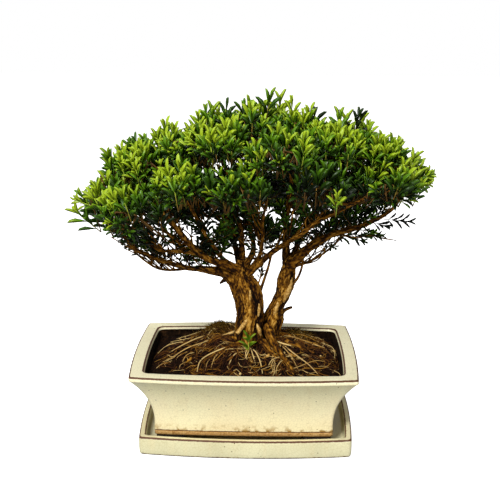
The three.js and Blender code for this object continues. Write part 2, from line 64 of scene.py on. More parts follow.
# Without a seed, noise_vector takes its offsets from the clock, and each run's bark would differ.
noise.seed_set(1)

# %% [markdown]
# A boxwood bonsai: two trunks from one root flare, a wide crown of small leaves, a rectangular
# pot in a cream crackle glaze and its saucer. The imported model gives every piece's place. This
# lesson replaces each plain solid with a finer mesh of the same form and gives it its finish.
#
# Sizes are in millimetres, as a maker measures, and become metres when a mesh is made.


# %% Helpers for meshes and objects
def new_bmesh(*values):
    """An empty bmesh that keeps named values with each point, for a material to read."""
    bm = bmesh.new()
    for value in values:
        bm.verts.layers.float.new(value)
    return bm


def to_mesh(bm, name):
    """Turns a bmesh into a mesh, and frees it."""
    data = bpy.data.meshes.new(name)
    bm.to_mesh(data)
    bm.free()
    return data


def add_object(name, data):
    """Puts an object into the scene, at the origin."""
    made = bpy.data.objects.new(name, data)
    bpy.context.scene.collection.objects.link(made)
    return made


# %% [markdown]
# ## Camera
# A photograph's camera can be set by eye or worked out. Here it is worked out from the pot's rim
# and the saucer's corners, whose sizes are known: a lens of 69 mm, a metre away, looking down 14
# degrees, with a slight turn and roll.

# %% Camera
CAMERA_PLACE = Vector((22.4, -1015.3, 461.9)) * MM
PITCH, YAW, ROLL = (math.radians(angle) for angle in (-14.12, 1.02, 0.42))
SENSOR_WIDTH, IMAGE_WIDTH = 36.0, 500
FOCAL_LENGTH_IN_PIXELS = 954.6
VIEW_DEPTH = 20.0

camera = add_object("camera", bpy.data.cameras.new("camera"))
camera.data.sensor_width = SENSOR_WIDTH
camera.data.lens = FOCAL_LENGTH_IN_PIXELS / IMAGE_WIDTH * SENSOR_WIDTH
camera.data.clip_end = VIEW_DEPTH
turn = Matrix.Rotation(YAW, 4, "Z") @ Matrix.Rotation(math.pi / 2 + PITCH, 4, "X")
camera.matrix_world = Matrix.Translation(CAMERA_PLACE) @ turn @ Matrix.Rotation(ROLL, 4, "Z")
bpy.context.scene.camera = camera
print("lens, mm:", round(camera.data.lens, 2))

# %% [markdown]
# ## Studio
# A photograph like this is taken on a white table against a white wall, with large soft lamps.
# One pale sheet that is lit as brightly as the backdrop hides the horizon. Large lamps in
# front and above keep the shadows soft, and the leaves shade each other.


# %% Helpers for colours, nodes and materials
def linear(code):
    """The linear colour of an sRGB hex value."""
    channels = [int(code[i : i + 2], 16) / 255 for i in (1, 3, 5)]
    curve = [c / 12.92 if c <= 0.04045 else ((c + 0.055) / 1.055) ** 2.4 for c in channels]
    return (*curve, 1.0)


def join(tree, source, socket):
    """Links an output, or a node's first live output, to a socket."""
    if isinstance(source, bpy.types.Node):
        source = next(s for s in source.outputs if s.enabled)
    tree.links.new(source, socket)


def add_node(tree, kind, settings=None, links=None):
    """Adds a node; settings are its own values, sockets or ramp stops, links feed its sockets.

    A socket is given by its name, or by its number where several share a name.
    """
    made = tree.nodes.new("ShaderNode" + kind)

    def named(name):
        return [s for i, s in enumerate(made.inputs) if name in (i, s.name) and s.enabled]

    for name, value in (settings or {}).items():
        sockets = named(name)
        if name == "stops":
            while len(made.color_ramp.elements) < len(value):
                made.color_ramp.elements.new(1)
            for element, (place, code) in zip(made.color_ramp.elements, value):
                element.position = place
                element.color = linear(code)
        elif sockets:
            sockets[0].default_value = linear(value) if isinstance(value, str) else value
        else:
            setattr(made, name, value)
    for name, source in (links or {}).items():
        join(tree, source, named(name)[0])
    return made


def start_material(name, **settings):
    """A material, its nodes, its shader, and the output that gives Object coordinates."""
    material = bpy.data.materials.new(name)
    material.use_nodes = True
    tree = material.node_tree
    shader = tree.nodes["Principled BSDF"]
    for socket, value in settings.items():
        shader.inputs[socket.replace("_", " ")].default_value = value
    return material, tree, shader, add_node(tree, "TexCoord").outputs["Object"]


# %% Floor
FLOOR_HALF, FLOOR_DROP = 6.0, 0.0002
WHITE = (1, 1, 1, 1)

sheet = new_bmesh()
bmesh.ops.create_grid(sheet, x_segments=1, y_segments=1, size=FLOOR_HALF)
bmesh.ops.translate(sheet, verts=sheet.verts, vec=(0, 0, -FLOOR_DROP))
floor = add_object("studio_floor", to_mesh(sheet, "studio_floor"))
floor.visible_diffuse = floor.visible_glossy = False
paper, *_ = start_material(
    "white_paper", Roughness=0.9, Base_Color=(0.8, 0.8, 0.8, 1), Emission_Color=WHITE, Emission_Strength=1.0
)
floor.data.materials.append(paper)
print("floor, m across:", 2 * FLOOR_HALF)

# %% Backdrop and lamps
# The backdrop looks white, but gives the tree only a weak light, so that the lamps shape it.
BACKDROP_LIGHT = 0.3
world = bpy.data.worlds.new("white_backdrop")
world.use_nodes = True
backdrop = world.node_tree.nodes["Background"]
backdrop.inputs["Color"].default_value = WHITE
seen = add_node(world.node_tree, "LightPath").outputs["Is Camera Ray"]
strength = add_node(world.node_tree, "MapRange", {"To Min": BACKDROP_LIGHT}, {"Value": seen})
join(world.node_tree, strength, backdrop.inputs["Strength"])
bpy.context.scene.world = world
bpy.context.scene.view_settings.view_transform = "Standard"

# Each lamp: name, place in metres, width and power in watts. All of them face the crown.
LAMPS = [
    ("key_lamp", (-0.7, -1.5, 1.5), 0.6, 55),
    ("fill_lamp", (0.9, -1.7, 0.12), 0.9, 18),
    ("top_lamp", (-0.1, 0.3, 1.9), 0.8, 15),
]
CROWN_MIDDLE = Vector((0.01, 0, 0.24))
for name, place, width, power in LAMPS:
    lamp = add_object(name, bpy.data.lights.new(name, "AREA"))
    lamp.data.size = width
    lamp.data.energy = power
    lamp.location = place
    lamp.rotation_euler = (CROWN_MIDDLE - Vector(place)).to_track_quat("-Z", "Y").to_euler()
print("lamps:", [name for name, *_ in LAMPS])

# %% [markdown]
# ## Finishing a piece
# Every piece below ends the same way: its bmesh becomes an object at the origin that rides on
# the model's body, stands for its plain solids, and shades smoothly. One function does this, so
# that no piece is left riding on nothing.

# %% Finish a piece
BODY = next(iter(frame["bodies"]))


def finish_piece(bm, name, materials, stands_for=()):
    """Turns a bmesh into a named piece on the model's body."""
    data = to_mesh(bm, name)
    for material in materials:
        data.materials.append(material)
    data.shade_smooth()
    piece = add_object(name, data)
    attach(piece, BODY)
    if stands_for:
        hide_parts(*stands_for)
    print(f"{name}: {sum(len(p.vertices) - 2 for p in data.polygons)} triangles")
    return piece


print("body:", BODY)

# %% [markdown]
# ## Ceramic
# The pot was pressed in a mould, so its walls are one skin that turns over the lip. A spun
# profile would be round, so this skin is a ring of points extruded from each height to the next.
# The ring is the pot's outline: a rectangle whose sides bow out a little, with rounded corners.
# It is drawn with the same quadratic curves as the plain solid, only with more points.

# %% Outline rings and the loft
SIDE_STEPS, CORNER_STEPS = 22, 7


def ring(half_x, half_y, radius, bow, height, shift=0.0):
    """Points round a rectangle with bowed sides and rounded corners, at one height."""
    inner_x, inner_y = half_x - radius, half_y - radius
    # One half of the outline; the other half is the same, turned half round.
    stretches = [
        ((-inner_x, -half_y), (0, -half_y - 2 * bow[1]), (inner_x, -half_y), SIDE_STEPS),
        ((inner_x, -half_y), (half_x, -half_y), (half_x, -inner_y), CORNER_STEPS),
        ((half_x, -inner_y), (half_x + 2 * bow[0], 0), (half_x, inner_y), SIDE_STEPS),
        ((half_x, inner_y), (half_x, half_y), (inner_x, half_y), CORNER_STEPS),
    ]
    half = []
    for *corners, steps in stretches:
        start, middle, end = map(Vector, corners)
        for t in (step / steps for step in range(steps)):
            half.append(start.lerp(middle, t).lerp(middle.lerp(end, t), t))
    return [Vector((side * p.x + shift, side * p.y, height)) for side in (1, -1) for p in half]


def extrude_rim(bm, edges):
    """Extrudes a loop of edges in place; gives the new loop's points and edges."""
    made = bmesh.ops.extrude_edge_only(bm, edges=edges)["geom"]
    verts = {g for g in made if isinstance(g, bmesh.types.BMVert)}
    return verts, [g for g in made if isinstance(g, bmesh.types.BMEdge) and set(g.verts) <= verts]


def loft(levels):
    """A closed skin through rings of points; each level is a ring and how worn its glaze is."""
    bm = new_bmesh("edge")
    place, wear = bm.verts.layers.int.new("place"), bm.verts.layers.float["edge"]
    bmesh.ops.create_circle(bm, segments=len(levels[0][0]), radius=1)
    for number, vert in enumerate(bm.verts):
        vert[place] = number
    verts, edges = list(bm.verts), list(bm.edges)
    for level, (points, worn) in enumerate(levels):
        if level:
            verts, edges = extrude_rim(bm, edges)
        for vert in verts:
            vert.co = points[vert[place]] * MM
            vert[wear] = worn
    bmesh.ops.holes_fill(bm, edges=[e for e in bm.edges if e.is_boundary])
    bmesh.ops.recalc_face_normals(bm, faces=bm.faces)
    return bm


print("points in a ring:", 4 * (SIDE_STEPS + CORNER_STEPS))

# %% [markdown]
# ## Glaze and clay
# The pot and saucer are stoneware under a glossy cream glaze. The glaze runs thin over each
# sharp edge, so the brown clay shows there as a line, duller than the rest, and it pools a
# little greener in places. Fine crackle and brown specks cover it, and hard water has stained it
# just over the foot, which is left bare, tan and dull. Each of these is one layer of colour over
# the last, so that each can be matched on its own.

# %% Glaze
POT_TOP = 91.0
GLAZE_GLOSS, EDGE_DULLNESS = 0.16, 0.65
# The colour by height, from the table to the pot's lip, with painted shade towards the table and painted
# light just under the lip; and where the stain lies at the foot.
GLAZE_WITH_PAINTED_SHADE = [
    (0.0, "#bbb48e"), (0.2, "#bdb48b"), (0.26, "#d1b888"), (0.42, "#e8d5a9"), (0.65, "#f2e4bb"),
    (0.86, "#f3eec6"), (1.0, "#f6ecc6"),
]
SPLASH_HEIGHT = [(0.24, "#000000"), (0.25, "#ffffff"), (0.28, "#c0c0c0"), (0.34, "#000000")]
# The patterns' widths in millimetres. Real crackle is finer than 3 mm, too fine to show.
BLOTCH, STREAK, STAIN, RAGGED, RIPPLE, CRACKLE, SPECK = 45, 9, 7, 3, 14, 3.2, 9
STREAK_LENGTHENING = (1.0, 1.0, 0.12)


def make_glaze():
    """Glossy cream crackle glaze on stoneware, IOR 1.5, smooth as poured glass."""
    material, tree, shader, place = start_material("cream_crackle_glaze", Roughness=GLAZE_GLOSS, IOR=1.5)
    running = add_node(tree, "Mapping", {"Scale": STREAK_LENGTHENING}, {"Vector": place})
    blotch, streak, stain, ragged, ripple = (
        add_node(tree, "TexNoise", {"Scale": 1 / (width * MM), "Detail": detail}, {"Vector": where})
        for width, detail, where in (
            (BLOTCH, 3.0, place), (STREAK, 2.0, running), (STAIN, 3.0, place), (RAGGED, 2.0, place),
            (RIPPLE, 2.0, place),
        )
    )
    crackle, speck = (
        add_node(tree, "TexVoronoi", {"feature": feature, "Scale": 1 / (width * MM)}, {"Vector": place})
        for feature, width in (("DISTANCE_TO_EDGE", CRACKLE), ("F1", SPECK))
    )
    height = add_node(tree, "SeparateXYZ", links={"Vector": place}).outputs["Z"]
    level = add_node(tree, "MapRange", {"From Max": POT_TOP * MM}, {"Value": height})
    splash = add_node(tree, "ValToRGB", {"stops": SPLASH_HEIGHT}, {"Fac": level})
    patches = add_node(tree, "MapRange", {"From Min": 0.5, "From Max": 0.62}, {"Value": stain})
    splashed = add_node(tree, "Math", {"operation": "MULTIPLY"}, {0: splash, 1: patches})
    edge = add_node(tree, "Attribute", {"attribute_name": "edge"}).outputs["Fac"]
    worn = add_node(tree, "Math", {"operation": "MULTIPLY_ADD", 1: 0.7}, {0: ragged, 2: edge})
    # The colour by height: painted shade low down and painted light under the lip.
    colour = add_node(tree, "ValToRGB", {"stops": GLAZE_WITH_PAINTED_SHADE}, {"Fac": level})
    # Each layer: its colour, the pattern that lays it on, and between which values it fades in.
    for code, pattern, fade in (
        ("#eae5bb", blotch, None),
        ("#e2d0a0", streak, {"From Min": 0.5, "From Max": 0.85, "To Max": 0.35}),
        ("#9f8d5d", crackle, {"From Max": 0.07, "To Min": 0.28, "To Max": 0.0}),
        ("#47331a", speck, {"From Min": 0.045, "From Max": 0.08, "To Min": 1.0, "To Max": 0.0}),
        ("#8f6a24", splashed, None),
        ("#532c10", worn, {"From Min": 0.8}),
    ):
        amount = add_node(tree, "MapRange", fade, {"Value": pattern}) if fade else pattern
        colour = add_node(tree, "Mix", {"data_type": "RGBA", "B": code}, {"A": colour, "Factor": amount})
    dulled = add_node(tree, "MapRange", {"To Min": GLAZE_GLOSS, "To Max": EDGE_DULLNESS}, {"Value": amount})
    bump = add_node(tree, "Bump", {"Strength": 0.25, "Distance": 0.6 * MM}, {"Height": ripple})
    for source, socket in ((colour, "Base Color"), (dulled, "Roughness"), (bump, "Normal")):
        join(tree, source, shader.inputs[socket])
    return material


glaze = make_glaze()
print("glaze nodes:", len(glaze.node_tree.nodes))

# %% [markdown]
# Most finishes of a tree are one colour scale that a grain runs along: clay, soil, wood, roots.
# On leaves and roots the mesh also carries a value from 0 to 1, which says how young or how pale
# that point is. One function makes them all, and each call says what the finish is.


# %% Clay
def grain_material(name, stops, grain=None, detail=2.0, value=None, share=None, bump=None, **settings):
    """A material whose colour follows its grain, a value that the mesh carries, or both.

    The grain is its width in millimetres, and a share of it is added to the value. The bump is
    its strength and its depth in millimetres.
    """
    material, tree, shader, place = start_material(name, **settings)
    if value:
        level = add_node(tree, "Attribute", {"attribute_name": value}).outputs["Fac"]
    if grain:
        field = add_node(tree, "TexNoise", {"Scale": 1 / (grain * MM), "Detail": detail}, {"Vector": place})
        added = {"operation": "MULTIPLY_ADD", 1: share}
        level = add_node(tree, "Math", added, {0: field, 2: level}) if value else field
    if bump:
        strength, depth = bump
        relief = add_node(tree, "Bump", {"Strength": strength, "Distance": depth * MM}, {"Height": field})
        join(tree, relief, shader.inputs["Normal"])
    join(tree, add_node(tree, "ValToRGB", {"stops": stops}, {"Fac": level}), shader.inputs["Base Color"])
    return material


# Below the first height, in millimetres, the bare foot is painted nearly black as the shadow under the pot;
# over the second it has no painted shadow.
FOOT_SHADOW_FULL, FOOT_SHADOW_END = 15.8, 18.2

# Fired stoneware with no glaze: tan, dull and gritty.
bare_clay = grain_material(
    "bare_stoneware_clay", [(0.3, "#94672f"), (0.5, "#b98f52"), (0.7, "#cdaa70")],
    grain=2, detail=6.0, bump=(0.5, 0.3), Roughness=0.85,
)
tree = bare_clay.node_tree
colour = tree.nodes["Principled BSDF"].inputs["Base Color"]
place = tree.nodes["Texture Coordinate"].outputs["Object"]
height = add_node(tree, "SeparateXYZ", links={"Vector": place}).outputs["Z"]
# The painted shadow under the pot fades out between the two heights; dry is the share of plain tan clay.
dry = add_node(tree, "MapRange", {"From Min": FOOT_SHADOW_FULL * MM, "From Max": FOOT_SHADOW_END * MM}, {"Value": height})
foot_shadow_mix = {"B": colour.links[0].from_socket, "Factor": dry}
join(tree, add_node(tree, "Mix", {"data_type": "RGBA", "A": "#1c0f06"}, foot_shadow_mix), colour)

# Unglazed clay inside the pot, stained by wet soil, and painted nearly black as the shade under the lip.
inner_clay_and_painted_shade = grain_material(
    "soil_stained_inner_clay_with_painted_shade", [(0.35, "#0b0603"), (0.55, "#1c1109"), (0.75, "#3f2a16")],
    grain=4, detail=4.0, Roughness=1.0, Specular_IOR_Level=0.05,
)
print("clays:", bare_clay.name, inner_clay_and_painted_shade.name)

# %% [markdown]
# ## Saucer
# A low tray with an upright wall. It could be a block with its middle cut out, but its edges are
# all soft, so it is one profile swept round the ring: from the flat underside, up the outside,
# over the rim and down to the floor. Each row is how far in from the outline, how high, and how
# much the glaze is worn there.

# %% Saucer
SAUCER_HALF, SAUCER_SHIFT = (113.4, 83.2), 2.0
SAUCER_CORNER, SAUCER_BOW = 5.0, (3.0, 7.0)
SAUCER_PROFILE = [
    (4.0, 0.0, 0.0), (2.4, 0.25, 0.5), (1.2, 1.0, 1.0), (0.6, 2.2, 0.5), (0.3, 3.8, 0.0),
    (0.0, 8.0, 0.0), (0.0, 14.0, 0.0), (0.0, 18.6, 0.1), (0.1, 19.6, 0.75), (0.45, 20.45, 1.0),
    (1.0, 20.9, 0.8), (2.0, 21.0, 0.1), (4.0, 21.0, 0.0), (5.4, 20.9, 0.5), (6.1, 20.6, 0.95),
    (6.6, 19.9, 0.6), (6.8, 18.5, 0.0), (7.4, 10.6, 0.0), (8.0, 8.9, 0.0), (9.6, 8.0, 0.0),
    (22.0, 8.0, 0.0),
]


def saucer_ring(inset, height):
    """The saucer's outline, drawn in by its inset."""
    half_x, half_y = SAUCER_HALF[0] - inset, SAUCER_HALF[1] - inset
    return ring(half_x, half_y, SAUCER_CORNER, SAUCER_BOW, height, SAUCER_SHIFT)


saucer_skin = loft([(saucer_ring(inset, z), worn) for inset, z, worn in SAUCER_PROFILE])
finish_piece(saucer_skin, "glazed_saucer", [glaze], ["saucer"])

# %% [markdown]
# ## Pot
# From its foot the wall stands upright, sweeps out in a cove, and ends in a flat lip with an
# upright band. The four corner feet and two drainage holes come afterwards, by adding and
# cutting simple bodies, as a potter does to the leather-hard clay. Faces below the glaze line
# take the bare clay.

# %% Pot profile
POT_HALF = (120.0, 90.0)
POT_UNDERSIDE, UNDERSIDE_TOP = 16.5, 22.0
FOOT_LINE = 23.8
COVE_BOTTOM, COVE_TOP, COVE_LEVELS = 30.0, 84.6, 12
NECK = 1.8
GLAZE_LINE, INNER_GLAZE_LINE = 21.6, 87.6
OUTER_RADIUS, INNER_RADIUS = 4.0, 11.0
FOOT_BOW, RIM_BOW, INSIDE_BOW = (1.0, 2.0), (3.5, 7.0), (2.0, 4.0)

POT_OUTSIDE = [
    (FOOT_LINE + 0.8, POT_UNDERSIDE, 0.0),
    (FOOT_LINE, POT_UNDERSIDE + 0.8, 0.0),
    (FOOT_LINE, GLAZE_LINE - 0.2, 0.0),
    (FOOT_LINE, GLAZE_LINE, 0.9),
    (FOOT_LINE - 0.25, GLAZE_LINE + 0.5, 1.0),
    (FOOT_LINE - 0.3, GLAZE_LINE + 1.1, 0.6),
    (FOOT_LINE - 0.2, GLAZE_LINE + 2.0, 0.0),
]
for t in (n / COVE_LEVELS for n in range(COVE_LEVELS + 1)):
    inset = FOOT_LINE - (FOOT_LINE - NECK) * t * t
    POT_OUTSIDE.append((inset, COVE_BOTTOM + (COVE_TOP - COVE_BOTTOM) * t, 0.0))
POT_OUTSIDE += [
    (1.3, 85.2, 0.0), (0.6, 85.6, 0.0), (0.15, 86.2, 0.15), (0.0, 87.2, 0.0), (0.0, 88.9, 0.1),
    (0.1, 89.8, 0.8), (0.4, 90.6, 1.0), (1.0, 91.0, 1.0), (1.9, 91.1, 0.4), (4.0, 91.2, 0.0),
]
POT_INSIDE = [
    (10.6, 91.2, 0.0), (11.8, 91.1, 0.3), (12.8, 90.9, 1.0), (13.6, 90.3, 0.8), (14.2, 89.4, 0.1),
    (14.5, 88.2, 0.2), (14.6, 87.6, 0.9), (14.8, 86.5, 0.5), (15.2, 83.0, 0.5), (19.5, 70.0, 0.0),
    (25.0, 57.0, 0.0), (29.0, 42.0, 0.0), (31.0, 25.0, 0.0),
]


def outside_ring(inset, height):
    """The pot's outside: its sides bow out less towards the foot."""
    t = (height - POT_UNDERSIDE) / (POT_TOP - POT_UNDERSIDE)
    bow = [a + (b - a) * t for a, b in zip(FOOT_BOW, RIM_BOW)]
    return ring(POT_HALF[0] - inset, POT_HALF[1] - inset, OUTER_RADIUS, bow, height)


def inside_ring(inset, height):
    """The pot's inside."""
    return ring(POT_HALF[0] - inset, POT_HALF[1] - inset, INNER_RADIUS, INSIDE_BOW, height)


pot_levels = [(outside_ring(inset, z), worn) for inset, z, worn in POT_OUTSIDE]
pot_levels += [(inside_ring(inset, z), worn) for inset, z, worn in POT_INSIDE]
pot = finish_piece(loft(pot_levels), "glazed_pot", [glaze, bare_clay, inner_clay_and_painted_shade], ["pot"])

# %% Feet and drainage holes
FOOT_SIZE, FOOT_INSET, FOOT_ROUNDING = (30.0, 26.0), 2.0, 1.2
FOOT_BOTTOM, FOOT_TOP = 8.3, 18.5
DRAIN_PLACE, DRAIN_RADIUS, DRAIN_DEPTH = (50.0, 0.0, 20.0), 9.0, 50.0
BARE, STAINED_AND_SHADED = 1, 2


def carve(target, other, operation):
    """Adds another closed form to a piece, or cuts it away."""
    cutter = add_object("cutter", to_mesh(other, "cutter"))
    for material in target.data.materials:
        cutter.data.materials.append(material)
    step = target.modifiers.new(operation, "BOOLEAN")
    step.operation, step.solver, step.object = operation, "EXACT", cutter
    graph = bpy.context.evaluated_depsgraph_get()
    result = bpy.data.meshes.new_from_object(target.evaluated_get(graph))
    target.modifiers.clear()
    target.data = result
    bpy.data.objects.remove(cutter)


feet = new_bmesh()
for side_x, side_y in ((-1, -1), (-1, 1), (1, -1), (1, 1)):
    centre = Vector((
        side_x * (POT_HALF[0] - FOOT_LINE - FOOT_INSET - FOOT_SIZE[0] / 2),
        side_y * (POT_HALF[1] - FOOT_LINE - FOOT_INSET - FOOT_SIZE[1] / 2),
        (FOOT_BOTTOM + FOOT_TOP) / 2,
    ))
    block = bmesh.ops.create_cube(feet, size=1)["verts"]
    bmesh.ops.scale(feet, verts=block, vec=Vector((*FOOT_SIZE, FOOT_TOP - FOOT_BOTTOM)) * MM)
    bmesh.ops.translate(feet, verts=block, vec=centre * MM)
bmesh.ops.bevel(
    feet, geom=feet.edges, offset=FOOT_ROUNDING * MM, segments=3, profile=0.5, affect="EDGES", material=-1
)
carve(pot, feet, "UNION")
drains = new_bmesh()
radius = DRAIN_RADIUS * MM
for side in (-1, 1):
    drain = bmesh.ops.create_cone(
        drains, cap_ends=True, segments=32, radius1=radius, radius2=radius, depth=DRAIN_DEPTH * MM
    )["verts"]
    bmesh.ops.translate(drains, verts=drain, vec=Vector((side * DRAIN_PLACE[0], *DRAIN_PLACE[1:])) * MM)
carve(pot, drains, "DIFFERENCE")
for face in pot.data.polygons:
    middle = face.center
    faces_in = middle.xy.dot(face.normal.xy) < 0
    # The inside wall under the lip takes the dark clay: partly soil stain, partly painted shade.
    if faces_in and UNDERSIDE_TOP * MM < middle.z < INNER_GLAZE_LINE * MM:
        face.material_index = STAINED_AND_SHADED
    elif middle.z < GLAZE_LINE * MM:
        face.material_index = BARE
print("pot faces after cutting:", len(pot.data.polygons))

# %% [markdown]
# ## Soil
# Dark, damp potting soil fills the pot to its lip and mounds up round the roots. It could be a
# height map on a plane, but the pot's outline is rounded and the soil has sides, so a grid is
# pressed into that outline and its edge is extruded down the walls. The mound is the same
# formula as in the plain solid, with crumbs added from smooth noise.

# %% Soil's height
SOIL_EDGE, SOIL_RISE = 83.0, 24.0
SOIL_CENTRE, SOIL_SPREAD = (6.0, 10.0), (104.0, 76.0)
MOUND_POWER, SOIL_LUMP = 1.25, 1.1
CRUMBS = [(9.0, 1.5), (3.4, 1.1), (1.5, 0.5)]
EDGE_DIP, EDGE_DIP_WIDTH = 6.0, 13.0
WALL_NEAR_SOIL = (105.0, 75.0)
# Each mossy mound: its middle, its width and its height.
MOUNDS = [((-33, 38), 17, 9), ((58, 40), 14, 4)]


def clamp(value):
    """A value held between 0 and 1."""
    return min(1.0, max(0.0, value))


def soil_height(x, y):
    """The plain height of the soil, in millimetres."""
    rise = ((x - SOIL_CENTRE[0]) / SOIL_SPREAD[0]) ** 2 + ((y - SOIL_CENTRE[1]) / SOIL_SPREAD[1]) ** 2
    rise = max(0.0, 1 - rise)
    lumps = SOIL_LUMP * (math.sin(x / 7 + y / 11) + math.sin(y / 6 - x / 13))
    return SOIL_EDGE + SOIL_RISE * rise**MOUND_POWER + lumps * min(1, 3 * rise)


def crumbled(x, y):
    """The soil's height with its crumbs and mounds, and with the dip along the pot's wall."""
    crumbs = sum(depth * noise.noise(Vector((x, y, 0)) / width) for width, depth in CRUMBS)
    to_wall = min(WALL_NEAR_SOIL[0] - abs(x), WALL_NEAR_SOIL[1] - abs(y))
    dip = EDGE_DIP * clamp(1 - to_wall / EDGE_DIP_WIDTH) ** 1.5
    mounds = sum(
        height * math.exp(-((x - cx) ** 2 + (y - cy) ** 2) / width**2)
        for (cx, cy), width, height in MOUNDS
    )
    return soil_height(x, y) + crumbs + mounds - dip


print("soil at its middle, mm:", round(crumbled(*SOIL_CENTRE), 1))

# %% Soil
SOIL_CELLS, SOIL_FIT = (200, 150), 0.3
SOIL_SIDE_LEVELS = (76.0, 57.0, 42.0, 26.8)
WALL_INSETS, WALL_HEIGHTS, _ = zip(*reversed(POT_INSIDE))


def across_pot(u, v, height):
    """A place in the pot at one height: u and v go from -1 to 1 between its walls."""
    inset = np.interp(height, WALL_HEIGHTS, WALL_INSETS)
    half_x, half_y = POT_HALF[0] - inset - SOIL_FIT, POT_HALF[1] - inset - SOIL_FIT
    x = u * (half_x + INSIDE_BOW[0] * (1 - v * v))
    y = v * (half_y + INSIDE_BOW[1] * (1 - u * u))
    past_x, past_y = abs(x) - half_x + INNER_RADIUS, abs(y) - half_y + INNER_RADIUS
    if past_x > 0 and past_y > 0:
        pull = max(past_x, past_y) / math.hypot(past_x, past_y)
        x = math.copysign(half_x - INNER_RADIUS + past_x * pull, x)
        y = math.copysign(half_y - INNER_RADIUS + past_y * pull, y)
    return x, y


soil = new_bmesh("u", "v")
u, v = soil.verts.layers.float["u"], soil.verts.layers.float["v"]
bmesh.ops.create_grid(soil, x_segments=SOIL_CELLS[0], y_segments=SOIL_CELLS[1], size=1)
for vert in soil.verts:
    vert[u], vert[v] = vert.co.x, vert.co.y
    x, y = across_pot(vert.co.x, vert.co.y, SOIL_EDGE)
    vert.co = Vector((x, y, crumbled(x, y))) * MM
edges = [e for e in soil.edges if e.is_boundary]
for level in SOIL_SIDE_LEVELS:
    verts, edges = extrude_rim(soil, edges)
    for vert in verts:
        vert.co = Vector((*across_pot(vert[u], vert[v], level), level)) * MM
bmesh.ops.holes_fill(soil, edges=edges)
bmesh.ops.recalc_face_normals(soil, faces=soil.faces)

# Damp potting soil: nearly black, dull, with brown fibres and grit.
potting_soil = grain_material(
    "damp_potting_soil", [(0.35, "#060302"), (0.55, "#150b05"), (0.68, "#2e1a0b"), (0.8, "#4b2e14")],
    grain=2.5, detail=5.0, bump=(0.8, 0.8), Roughness=1.0, Specular_IOR_Level=0.05,
)
finish_piece(soil, "soil_surface", [potting_soil], ["soil"])

# %% [markdown]
# ## Paths and tubes
# Trunks, limbs, twigs and roots all grow as tapering tubes along a smooth line. A curve with a
# round bevel would give the same tubes, but smooth ones, and bark is rough. So a tube is a grid
# rolled up round its line: its columns go round, its rows go along, and the seam is merged. Its
# bark is real relief, and each point keeps its height from 0, in a groove, for the material to
# colour.

# %% Smooth paths
BEZIER_STEPS = 20


def smooth_path(path, radii, spacing):
    """Even centres and radii along a smooth curve through a path's points."""
    stops = [Vector(p) for p in path]
    headings = [
        (after - before).normalized()
        for before, after in zip([stops[0], *stops[:-1]], [*stops[1:], stops[-1]])
    ]
    dense = [stops[0]]
    for i in range(len(stops) - 1):
        reach = (stops[i + 1] - stops[i]).length / 3
        first, last = stops[i] + headings[i] * reach, stops[i + 1] - headings[i + 1] * reach
        dense += geometry.interpolate_bezier(stops[i], first, last, stops[i + 1], BEZIER_STEPS)[1:]
    points = np.array(dense)
    along = np.concatenate([[0], np.cumsum(np.linalg.norm(np.diff(points, axis=0), axis=1))])
    count = max(3, int(along[-1] / spacing) + 1)
    steps = np.linspace(0, along[-1], count)
    centres = [Vector(c) for c in zip(*(np.interp(steps, along, points[:, k]) for k in range(3)))]
    places = np.linspace(0, len(radii) - 1, count)
    return centres, list(np.interp(places, range(len(radii)), radii))


print("stops on a bend:", len(smooth_path([(0, 0, 0), (9, 0, 9), (9, 9, 20)], [2, 1], 2)[0]))

# %% Tubes with bark
BARK_PLATE = (3.4, 11.0)
BARK_DEPTH, BARK_DEPTH_RANGE, BARK_MIDDLE = 0.2, (0.05, 2.6), 0.7
CREVICE, CRACK = 2.8, 3.0
CRACK_SCALE, FLAKE_SCALE = 2.3, 3.4
CREVICE_SHARE, CRACK_SHARE, FLAKE_SHARE = 0.4, 0.32, 0.28
WANDER_SCALE, WANDER = 0.7, 0.5
FLUTE_TWISTS, FLUTED, FLUTE_SHADE = (60, 45), 0.05, 0.16
BARK_SHIFT = 7
BARK_VALUES = ("ridge", "shade")


def bark_relief(spot):
    """The bark's height from 0, in a crevice, to 1: long crevices, fine cracks and flakes."""
    wander = noise.noise_vector(spot * WANDER_SCALE) * WANDER
    crevice = min(1.0, abs(noise.noise(spot + wander)) * CREVICE)
    crack = min(1.0, abs(noise.noise(spot * CRACK_SCALE + wander)) * CRACK)
    flake = 0.5 + noise.noise(spot * FLAKE_SCALE)
    return CREVICE_SHARE * crevice + CRACK_SHARE * crack + FLAKE_SHARE * flake


